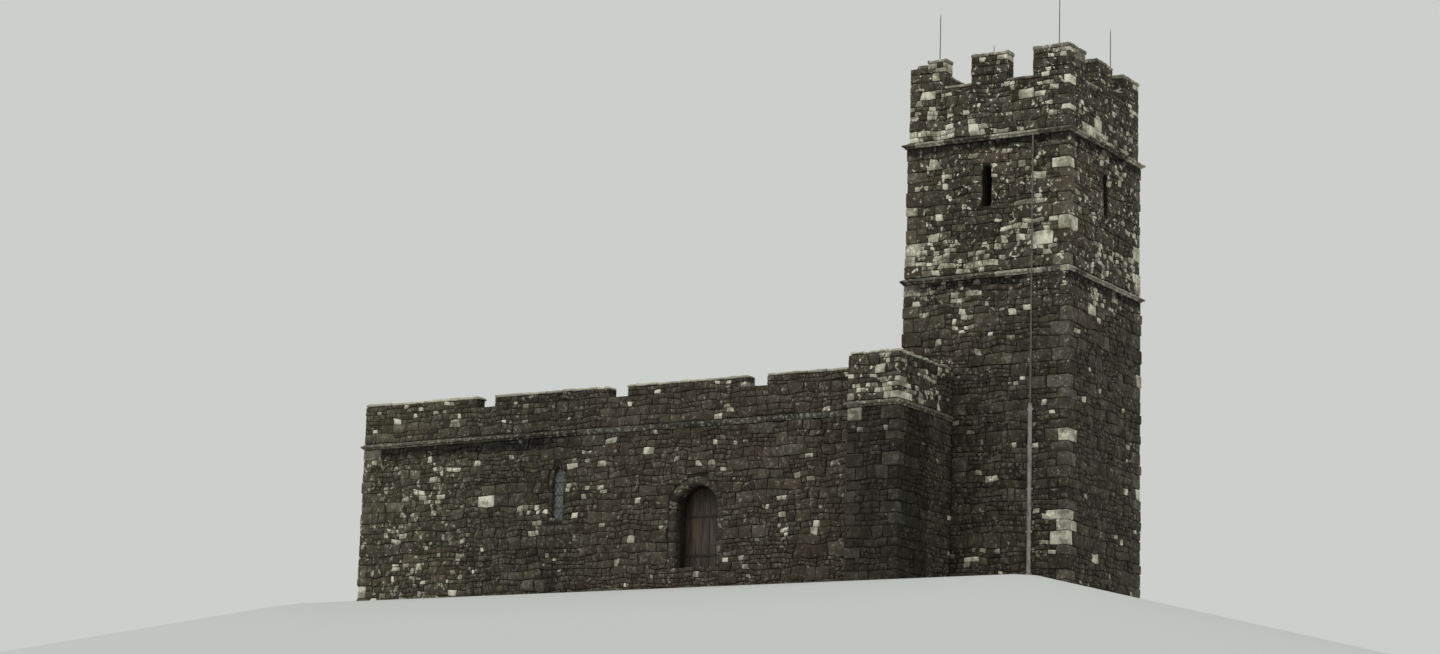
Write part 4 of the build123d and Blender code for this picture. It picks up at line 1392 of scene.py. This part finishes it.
class CHURCH_OT_strings(bpy.types.Operator):
    """Cut the string courses into weathered stones, worn away where the years have taken them"""

    bl_idname = "church.strings"
    bl_label = "String courses"

    def execute(self, context):
        rng, length = random_of(context, 6), context.scene.church_trim.string_stone
        corner = length / 2
        for node, block in (("tower_lower_string", lower_string), ("tower_upper_string", upper_string)):
            stones = Cutting(rng, node, 0.010, 0.014)
            runs = [
                levels_between(low + corner, high - corner, rng, 0.7 * length, 1.2 * length)
                for low, high in (block.x, block.y)
            ]
            is_lower = block is lower_string
            if is_lower:
                start, end = block.x
                whole = [start + joint for joint in (corner, *lower_string_joints)]
                runs[0] = [*whole, string_end, string_end + 0.33, end - corner]
            for x, y in ring_cells(block.x, block.y, corner, *runs):
                limits = between(x, y)
                on_north = y[1] is not None and y[1] <= sum(block.y) / 2
                past_end = x[0] is not None and x[0] >= string_end - 0.01
                if is_lower and on_north and past_end:
                    limits += between(y=(tower.y[0] - 0.016, None))
                stones.cut(limits, 0.9 if rng.random() < 0.6 else 0.35)
            stones.done(f"{node}_stones", dressed_stone, "dressed_stone")
        stones = Cutting(rng, "nave_string_course", 0.010, 0.012)
        cuts = levels_between(nave_string.x[0] + 0.4, nave_string.x[1], rng, 0.5, 0.95)
        for half in halves(axis_y):
            for run in pairs(cuts):
                limits = between(run, half)
                if run[0] > worn_string_x:
                    reach = rng.uniform(0.022, 0.045)
                    limits += between(y=(nave.y[0] - reach, nave.y[1] + reach))
                stones.cut(limits, 0.3)
        rows = levels_between(nave_string.y[0] + 0.4, nave_string.y[1] - 0.4, rng, 0.5, 0.9)
        for run in pairs([None, *rows[1:-1], None]):
            stones.cut(between((None, cuts[0]), run), 0.3)
        stones.done("nave_string_stones", dressed_stone, "dressed_stone")
        stones = Cutting(rng, "turret_string_course", 0.010, 0.014)
        front = turret_string.y[0]
        east, west = halves(sum(turret.x) / 2)
        corner = front + 0.42
        cells = [(east, (None, corner)), (west, (None, corner))]
        for half, joints in zip((east, west), turret_string_joints):
            cells += [(half, run) for run in pairs([corner, *(front + joint for joint in joints), None])]
        for cell in cells:
            stones.cut(between(*cell), 0.5)
        stones.done("turret_string_stones", dressed_stone, "dressed_stone")
        return {"FINISHED"}


class CHURCH_OT_copings(bpy.types.Operator):
    """Cut the copings of tower, nave, turret and gable into separate worn slabs"""

    bl_idname = "church.copings"
    bl_label = "Copings and sills"

    def execute(self, context):
        rng, length = random_of(context, 7), context.scene.church_trim.coping_stone
        slabs = Cutting(rng, "tower_merlon_copings", 0.016, 0.022, 0.12)
        corner, runs = 0.46, []
        for ends, merlons in (
            (tower_copings.x, merlon_spans(parapet.x)),
            (tower_copings.y, merlon_spans(parapet.y)),
        ):
            first, second, third = merlons
            middle = sum(second) / 2 + rng.uniform(-0.06, 0.06)
            gaps = (first[1] + second[0]) / 2, (second[1] + third[0]) / 2
            runs.append([ends[0] + corner, gaps[0], middle, gaps[1], ends[1] - corner])
        for cell in ring_cells(tower_copings.x, tower_copings.y, corner, *runs):
            slabs.cut(between(*cell), rng.uniform(0.5, 1.0))
        for part in loose_parts("tower_crenel_sills"):
            for axis in (0, 1):
                slice_along(part, axis, 0.13)
            weather(part, rng, 0.012, 0.016, 0.002)
            paint(part, rng.random(), rng.uniform(0.3, 0.8))
            join(slabs.out, part)
        slabs.done("tower_coping_stones", dressed_stone, "dressed_stone", "tower_crenel_sills")
        for side in ("north", "south"):
            slabs = Cutting(rng, f"nave_{side}_copings", 0.014, 0.020, 0.12, shift=0.006)
            cuts = levels_between(*nave.x, rng, 0.7 * length, 1.4 * length)
            for run in pairs([None, *cuts[1:-1], None]):
                slabs.cut(between(run), rng.uniform(0.5, 1.0))
            slabs.done(f"nave_{side}_coping_stones", dressed_stone, "dressed_stone")
        slabs = Cutting(rng, "turret_coping", 0.030, 0.045, 0.1)
        front, middle = turret_y[0] + turret_wall + 0.02, sum(turret.x) / 2
        cells = [(run, (None, front)) for run in pairs([None, middle - 0.2, middle + 0.25, None])]
        cuts = [front, *(front + joint for joint in turret_coping_joints), None]
        cells += [(half, run) for half in halves(middle) for run in pairs(cuts)]
        for cell in cells:
            slabs.cut(between(*cell), 0.8)
        slabs.done("turret_coping_stones", dressed_stone, "dressed_stone")
        slabs = Cutting(rng, "gable_copings", 0.014, 0.018)
        for part in loose_parts("gable_copings"):
            places = [vert.co.y for vert in part.verts]
            for run in pairs(levels_between(min(places), max(places), rng, 0.4, 0.6)):
                slabs.cut(between(y=run), rng.uniform(0.2, 0.9), part)
            part.free()
        apex = solid_of("gable_apex_stone")
        slabs.wear = 0.016
        slabs.cut([], 0.8, apex)
        apex.free()
        slabs.done("gable_coping_stones", dressed_stone, "dressed_stone", "gable_apex_stone")
        return {"FINISHED"}


def radial_limits(centre, along, start, end):
    """Planes through an arch's centre line that keep the sector between two angles."""
    first = along * math.sin(start) - UP * math.cos(start)
    second = UP * math.cos(end) - along * math.sin(end)
    return [(centre, first), (centre, second)]


class CHURCH_OT_doorways(bpy.types.Operator):
    """Build the two doorways: arch stones, plank doors and their ironwork"""

    bl_idname = "church.doorways"
    bl_label = "Doorways"

    def execute(self, context):
        rng, width = random_of(context, 8), context.scene.church_trim.board_width
        stones = Cutting(rng, "door_surrounds", 0.007, 0.006, 0.12, shift=0.004)
        boards = Cutting(rng, "plank_doors", 0.006, 0.002, 0.2, 0.0015, 0.002)
        ironwork = new_bmesh()
        spring = Vector((door_x, 0, door_outline[2]))
        for half, plane, side in zip(halves(axis_y), nave.y, ("north", "south")):
            keep = between(y=half)
            for index in range(arch_stones):
                start, end = math.pi * index / arch_stones, math.pi * (index + 1) / arch_stones
                sector = radial_limits(spring, ALONG, start, end)
                stones.cut(keep + sector, rng.uniform(0.0, 0.35))
            beds = levels_between(door.z[0], spring.z, rng, *jamb_courses)
            for jamb in halves(door_x):
                for bed in pairs(beds):
                    stones.cut(keep + between(jamb, z=bed), rng.uniform(0.0, 0.35))
            edges = levels_between(*Block("plank_doors").x, rng, 0.85 * width, 1.2 * width)
            for run in pairs(edges):
                boards.cut(keep + between(run), 0.0)
            outward = OUTWARD[side]
            face = Vector((door_x, plane, 0)) - outward * door_reveal + outward * 0.004
            add_door_irons(ironwork, face, outward)
        stones.done("door_arch_stones", dressed_stone, "dressed_stone")
        boards.done("door_boards", door_oak, "oak")
        new_piece("door_irons", ironwork, wrought_iron, "oak")
        return {"FINISHED"}


def add_door_irons(bm, face, outward):
    """Two strap hinges with their nails, a ring handle and a lock plate on a door's outer face."""
    strap_thick, strap_wide, prong_wide = 0.008, 0.045, 0.024
    strap_start, strap_end, nail_pitch = -0.50, 0.30, 0.125
    stud_pitch_x, stud_pitch_z = 0.176, 0.28
    ring_radius, ring_half_thick = 0.040, 0.007

    def at(x, z, proud=0.0):
        """Place on the face at a distance from its middle and a height over the floor."""
        return face + ALONG * x + UP * (floor_level + z) + outward * proud

    for height in (0.32, 1.18):
        start, end = (at(x, height, strap_thick / 2) for x in (strap_start, strap_end))
        bar(bm, start, end, strap_wide, strap_thick, outward)
        for reach, rise in ((0.09, -0.05), (0.09, 0.05), (0.12, 0.0)):
            tip = end + ALONG * reach + UP * rise
            bar(bm, end - ALONG * 0.03, tip, prong_wide, strap_thick, outward)
        for index in range(7):
            nail = at(strap_start + 0.04 + index * nail_pitch, height)
            rod(bm, nail, nail + outward * 0.016, 0.012, 0.005, 8)
    for row in range(6):
        for column in range(6):
            stud = at(-0.44 + column * stud_pitch_x, 0.12 + row * stud_pitch_z)
            rod(bm, stud, stud + outward * 0.009, 0.009, 0.004, 6)
    handle = at(0.33, 0.92)
    bar(bm, handle - UP * 0.09, handle + UP * 0.09, 0.10, 0.006, outward)
    rod(bm, handle, handle + outward * 0.03, 0.014, 0.010, 10)
    ring, centre = new_bmesh(), handle + outward * 0.024 - UP * 0.022
    place = Matrix.Translation(centre - UP * ring_radius) @ Matrix.Rotation(math.pi / 2, 4, "Y")
    bmesh.ops.create_circle(ring, cap_ends=False, segments=8, radius=ring_half_thick, matrix=place)
    bmesh.ops.spin(
        ring, geom=ring.edges[:], cent=centre, axis=outward, dvec=(0, 0, 0),
        angle=2 * math.pi, steps=20, use_merge=True, use_duplicate=False,
    )
    bmesh.ops.recalc_face_normals(ring, faces=ring.faces[:])
    join(bm, ring)


class CHURCH_OT_lancets(bpy.types.Operator):
    """Build the lancets: dressed stones, lead cames over the panes and iron saddle bars"""

    bl_idname = "church.lancets"
    bl_label = "Lancets"

    def execute(self, context):
        rng = random_of(context, 9)
        stones = Cutting(rng, "lancet_surrounds", 0.006, 0.005, 0.12, 0.002)
        cames, bars = new_bmesh(), new_bmesh()
        half, sill, spring, radius = lancet_outline
        clear = (half - lancet_jamb, sill + lancet_jamb, spring, radius - lancet_jamb)
        places = [(side, plane, lancet_x, 0.0) for side, plane in zip(("north", "south"), nave.y)]
        places += [("east", nave.x[0], axis_y + shift, rise) for shift, rise in east_lancets]
        for side, plane, middle, rise in places:
            outward = OUTWARD[side]
            along = Vector([abs(value) for value in ACROSS[side]])
            base = along * middle + Vector([plane * abs(value) for value in outward])
            keep = [(base + along * sign * 0.3, along * sign) for sign in (-1, 1)]
            keep.append((base - outward * 0.5, -outward))
            bottom = base + UP * (sill + lancet_jamb + rise + 0.004)
            head = base + UP * (spring + rise)
            parts = [[(bottom, UP)]]
            beds = levels_between(bottom.z, head.z, rng, *lancet_courses)
            for sign in (-1, 1):
                inner = [(base, along * -sign)]
                parts += [inner + [(UP * high, UP), (UP * low, -UP)] for low, high in pairs(beds)]
                centre = head - along * sign * (radius - half)
                for start, end in pairs((0.0, math.pi / 6, math.pi / 2)):
                    parts.append(inner + radial_limits(centre, along * sign, start, end))
            for limits in parts:
                stones.cut(keep + limits, rng.uniform(0.0, 0.35))
            light = Opening(0.0, clear, rise, 0.0)
            add_cames(cames, light, base - outward * glass_depth, along, outward)
            for share in bar_shares:
                height = light.sill + share * (light.crown - light.sill)
                reach = light.half(height) + 0.02
                place = base - outward * bar_depth + UP * height
                rod(bars, place - along * reach, place + along * reach, 0.007, None, 8)
        stones.done("lancet_dressings", dressed_stone, "dressed_stone")
        new_piece("lancet_cames", cames, lead_sheet, "leaded_glass")
        new_piece("lancet_bars", bars, wrought_iron, "guard_metal")
        return {"FINISHED"}


def add_cames(bm, light, face, along, outward):
    """Lozenge lattice of lead over a window's glass."""
    steps = 60
    for lean in (-1, 1):
        for index in range(-12, 13):
            level = (light.sill + light.crown) / 2 + index * lattice_pitch
            inside = []
            for step in range(steps + 1):
                across = (step / steps * 2 - 1) * light.half_width
                height = level + lean * lattice_slope * across
                if light.sill <= height <= light.crown and abs(across) <= light.half(height):
                    inside.append(face + along * across + UP * height)
            if len(inside) > 2:
                bar(bm, inside[0], inside[-1], 0.009, 0.006, outward)


class CHURCH_OT_nave_roof(bpy.types.Operator):
    """Slate the nave's two slopes in courses that get shorter towards the ridge, and tile the ridge"""

    bl_idname = "church.nave_roof"
    bl_label = "Nave roof"

    def execute(self, context):
        rng, width = random_of(context, 10), context.scene.church_trim.slate_width
        pitch = math.atan(roof_slope)
        slope_length = roof_half / math.cos(pitch)
        for side, sign in (("north", 1), ("south", -1)):
            bm = new_bmesh()
            ends = sorted(sign * end for end in slope.x)
            tail, course = 0.0, longest_course
            while tail < slope_length - 0.08:
                head = min(tail + course, slope_length)
                lay_slates(bm, ends, tail, head, rng, width * (0.7 + course))
                tail, course = head, max(shortest_course, course - course_change)
            across = ALONG * sign
            rise = Vector((0, sign * math.cos(pitch), math.sin(pitch)))
            eaves_y = axis_y - sign * roof_half
            matrix = placed(across, rise, across.cross(rise), (0, eaves_y, roof_line(eaves_y)))
            bmesh.ops.transform(bm, matrix=matrix, verts=bm.verts)
            new_piece(f"roof_{side}_slates", bm, riven_slate, "slate", crease=0.5)
        tiles = Cutting(rng, "roof_ridge_tiles", 0.005, 0.004, 0.2)
        for run in pairs(levels_between(*Block("roof_ridge_tiles").x, rng, 0.40, 0.46)):
            tiles.cut(between(run), 0.0)
        tiles.done("roof_ridge_tile_run", ridge_clay, "ridge_tile")
        return {"FINISHED"}


def lay_slates(bm, ends, tail, head, rng, width):
    """One course of slates, each lying with its head under the course above."""
    count = round(length_of(ends) / width)
    start = ends[0] - rng.uniform(0.0, width)
    for index in range(count + 2):
        left = max(ends[0], start + index * width + rng.uniform(-0.01, 0.01))
        right = min(ends[1], start + (index + 1) * width - 0.005)
        if right - left < 0.03:
            continue
        slip = -0.03 if rng.random() < 0.015 else rng.uniform(-0.006, 0.004)
        verts = bmesh.ops.create_cube(bm, size=1.0)["verts"]
        lift = rng.uniform(0.0, 0.006)
        for vert in verts:
            is_tail, is_top = vert.co.y < 0, vert.co.z > 0
            x = (left if vert.co.x < 0 else right) + rng.uniform(-0.002, 0.002)
            y = tail + slip + rng.uniform(-0.004, 0.004) if is_tail else head + 0.06
            z = (0.024 + lift if is_tail else 0.006) - (0.0 if is_top else 0.010)
            vert.co = (x, y, z)
        faces = {face for vert in verts for face in vert.link_faces}
        paint(bm, rng.random(), 0.0, faces)


class CHURCH_OT_tower_roof(bpy.types.Operator):
    """Dress the tower's low roof with lead bays and rolls"""

    bl_idname = "church.tower_roof"
    bl_label = "Tower roof"

    def execute(self, context):
        spacing = context.scene.church_trim.roll_spacing
        bm, roof = new_bmesh(), Block("tower_roof")
        deck, top, radius = rods.z[0], roof.z[1], 0.022
        middle = Vector((sum(roof.x) / 2, sum(roof.y) / 2, 0))
        base = [length_of(ends) / 2 - deck_width for ends in (roof.x, roof.y)]
        run = base[1] - 0.1
        cap = [half - run for half in base]

        def roll(start, end, size=radius, segments=12):
            """Add a roll between two places that are measured from the roof's middle."""
            rod(bm, middle + Vector(start), middle + Vector(end), size, None, segments)

        for x, y in QUARTERS:
            roll((x * base[0], y * base[1], deck), (x * cap[0], y * cap[1], top), radius * 1.2)
        for axis in (0, 1):
            half, edge = base[axis], base[1 - axis]
            count = max(1, round(2 * half / spacing))
            for sign in (-1, 1):
                for index in range(1, count):
                    place = -half + 2 * half * index / count
                    reach = min(1.0, (half - abs(place)) / (half - cap[axis]))
                    foot = (place, sign * edge, deck)
                    crown = (place, sign * (edge - reach * run), deck + reach * (top - deck))
                    gutter = (place, sign * (edge + deck_width - 0.03), deck)
                    for ends in ((foot, crown), (foot, gutter)):
                        roll(*((y, x, z) if axis else (x, y, z) for x, y, z in ends), segments=10)
        for sign in (-1, 1):
            roll((-cap[0], sign * cap[1], top), (cap[0], sign * cap[1], top))
            roll((sign * cap[0], -cap[1], top), (sign * cap[0], cap[1], top))
        new_piece("tower_lead_rolls", bm, lead_sheet, "leaded_roof")
        return {"FINISHED"}


class CHURCH_OT_rods(bpy.types.Operator):
    """Build the lightning rods and the tape that runs down the tower into its guard"""

    bl_idname = "church.rods"
    bl_label = "Lightning protection"

    def execute(self, context):
        bm, plate, plate_thick, half_collar = new_bmesh(), 0.06, 0.016, 0.03
        for x in (rods.x[0] + plate, rods.x[1] - plate):
            for y in (rods.y[0] + plate, rods.y[1] - plate):
                foot, tip = Vector((x, y, rods.z[0])), Vector((x, y, rods.z[1]))
                middle = foot + UP * plate_thick / 2
                bar(bm, middle - ALONG * plate, middle + ALONG * plate, 2 * plate, plate_thick, UP)
                for quarter in QUARTERS:
                    bolt = foot + Vector((*quarter, 0)) * 0.7 * plate + UP * (plate_thick - 0.001)
                    rod(bm, bolt, bolt + UP * 0.012, 0.008, None, 6)
                joint, point = foot + UP * 1.55, tip - UP * 0.10
                rod(bm, foot, joint, 0.014)
                rod(bm, joint, point, 0.011, 0.009)
                rod(bm, point, tip, 0.009, 0.0012)
                collars = (foot + UP * 0.05, 0.026), (joint, 0.021), (foot + UP * 0.62, 0.019)
                for place, radius in collars:
                    rod(bm, place - UP * half_collar, place + UP * half_collar, radius)
        new_piece("lightning_rod_set", bm, dull_bronze, "rod_metal", "lightning_rods")

        north, tape, guard = OUTWARD["north"], new_bmesh(), new_bmesh()
        tape_line, guard_top = Block("conductor_tape"), Block("conductor_guard").z[1]
        face = Vector((sum(tape_line.x) / 2, tower.y[0] - 0.054, 0))
        bar(tape, face + UP * guard_top, face + UP * (tape_line.z[1] - 0.01), 0.04, 0.006, north)
        for height in range(5, 10):
            clip = face + UP * (height + 0.2)
            bar(tape, clip - UP * 0.018, clip + UP * 0.018, 0.075, 0.012, north)
        cover = bar(guard, face + UP * 0.02, face + UP * guard_top, 0.09, 0.034, north)
        edges = {edge for vert in cover for edge in vert.link_edges if edge.calc_length() > 3}
        bmesh.ops.bevel(
            guard, geom=list(edges), offset=0.010, offset_type="OFFSET", segments=3, profile=0.5,
            affect="EDGES", material=-1,
        )
        for height in (0.35, 1.25, 2.15, 3.05, 3.85):
            clip = face + UP * height
            bar(guard, clip - UP * 0.022, clip + UP * 0.022, 0.15, 0.012, north)
            for sign in (-1, 1):
                screw = clip + Vector((sign * 0.06, -0.006, 0))
                rod(guard, screw, screw + north * 0.006, 0.010, 0.006, 8)
        new_piece("conductor_tape_run", tape, dull_bronze, "rod_metal", "conductor_tape")
        new_piece("conductor_guard_cover", guard, pale_steel, "guard_metal", "conductor_guard")
        return {"FINISHED"}


class CHURCH_OT_finishes(bpy.types.Operator):
    """Give every CAD solid the finish of what it is"""

    bl_idname = "church.finishes"
    bl_label = "Walls, floors and timbers"

    def execute(self, context):
        makers = {
            "rubble": wall_core,
            "dressed_stone": dressed_stone,
            "floor_slabs": floor_slabs,
            "oak": beam_oak,
            "slate": riven_slate,
            "ridge_tile": ridge_clay,
            "leaded_roof": lead_sheet,
            "leaded_glass": leaded_panes,
            "rod_metal": dull_bronze,
            "guard_metal": pale_steel,
        }
        for part in frame["record"]["subparts"]:
            node = part["node"]
            maker = tie_oak if node == "tie_beams" else makers[part["material_slot"]]
            materials = nodes[node].data.materials
            materials.clear()
            materials.append(finish_of(maker))
        return {"FINISHED"}


class CHURCH_OT_stage(bpy.types.Operator):
    """Set the pale floor, the soft light and the camera at the photograph's viewing angle"""

    bl_idname = "church.stage"
    bl_label = "Stage, light and camera"

    def execute(self, context):
        scene, bm = context.scene, bmesh.new()
        length, width = ground_size
        bmesh.ops.create_grid(bm, x_segments=2 * length, y_segments=2 * width, size=0.5)
        bmesh.ops.scale(bm, vec=(length, width, 1), verts=bm.verts)
        half = (cad_bounds[1] - cad_bounds[0]) / 2
        for vert in bm.verts:
            away = [max(0.0, abs(vert.co[axis]) - half[axis] - ground_margin) for axis in (0, 1)]
            vert.co.z = ground_level - math.hypot(*away) * ground_fall
        new_object("stage_ground", bm, soft_ground)

        world = bpy.data.worlds.new("pale_sky")
        world.use_nodes = True
        scene.world = world
        sky, own = Nodes(world.node_tree), world.node_tree.nodes
        light = own["Background"]
        sky.give(light.inputs["Color"], (0.98, 1.0, 0.97))
        sky.give(light.inputs["Strength"], 0.80)
        seen = sky.node("ShaderNodeBackground", {}, {"Color": (0.61, 0.622, 0.603)})
        direct, mirrored, clear = (
            sky.node("ShaderNodeLightPath", {}, {}, f"Is {kind} Ray")
            for kind in ("Camera", "Glossy", "Transmission")
        )
        shown = direct.larger(mirrored).larger(clear)
        shaders = [shown, Value(sky, light.outputs[0]), seen]
        sky.give(own["World Output"].inputs["Surface"], sky.node("ShaderNodeMixShader", {}, shaders))

        for name, energy, spread, direction in (
            ("sky_light_left", 1.5, 50, (0.45, 0.9, -1.15)),
            ("sky_light_right", 0.5, 70, (-1.0, 0.3, -0.9)),
        ):
            lamp = bpy.data.lights.new(name, "SUN")
            lamp.energy = energy
            lamp.angle = math.radians(spread)
            sun = bpy.data.objects.new(name, lamp)
            sun.rotation_euler = Vector(direction).to_track_quat("-Z", "Y").to_euler()
            scene.collection.objects.link(sun)

        camera = bpy.data.cameras.new("view")
        camera.lens = camera_lens
        camera.clip_end = 500
        eye = bpy.data.objects.new("view", camera)
        eye.location = camera_place
        sight = Vector((-math.sin(photo_turn), math.cos(photo_turn), math.tan(photo_climb)))
        to_church = sight.rotation_difference(camera_aim - camera_place)
        eye.rotation_euler = (to_church @ sight.to_track_quat("-Z", "Y")).to_euler()
        scene.collection.objects.link(eye)
        scene.camera = eye
        scene.view_settings.view_transform = "Standard"
        return {"FINISHED"}


# Panel and main


class CHURCH_PT_panel(bpy.types.Panel):
    """Sidebar panel with the church's sizes and its steps in order"""

    bl_idname = "CHURCH_PT_panel"
    bl_label = "Hill-top church"
    bl_space_type = "VIEW_3D"
    bl_region_type = "UI"
    bl_category = "Church"

    def draw(self, context):
        for name in groups:
            box, group = self.layout.box(), getattr(context.scene, name)
            for value in group.__annotations__:
                box.prop(group, value)
        for step in steps:
            self.layout.operator(step.bl_idname)


steps = (
    CHURCH_OT_tower_walls,
    CHURCH_OT_tower_parapet,
    CHURCH_OT_nave_walls,
    CHURCH_OT_nave_parapets,
    CHURCH_OT_turret_walls,
    CHURCH_OT_strings,
    CHURCH_OT_copings,
    CHURCH_OT_doorways,
    CHURCH_OT_lancets,
    CHURCH_OT_nave_roof,
    CHURCH_OT_tower_roof,
    CHURCH_OT_rods,
    CHURCH_OT_finishes,
    CHURCH_OT_stage,
)
groups = {"church_stones": ChurchStones, "church_trim": ChurchTrim, "church_tones": ChurchTones}
classes = (*groups.values(), *steps, CHURCH_PT_panel)


def register():
    """Register the classes and give the scene its groups of sizes and colours."""
    for new_class in classes:
        bpy.utils.register_class(new_class)
    for name, group in groups.items():
        setattr(bpy.types.Scene, name, PointerProperty(type=group))


def unregister():
    """Take the groups from the scene and unregister the classes."""
    for name in groups:
        delattr(bpy.types.Scene, name)
    for old_class in reversed(classes):
        bpy.utils.unregister_class(old_class)


def main():
    register()
    for step in steps:
        area, name = step.bl_idname.split(".")
        getattr(getattr(bpy.ops, area), name)()


if __name__ == "__main__":
    main()
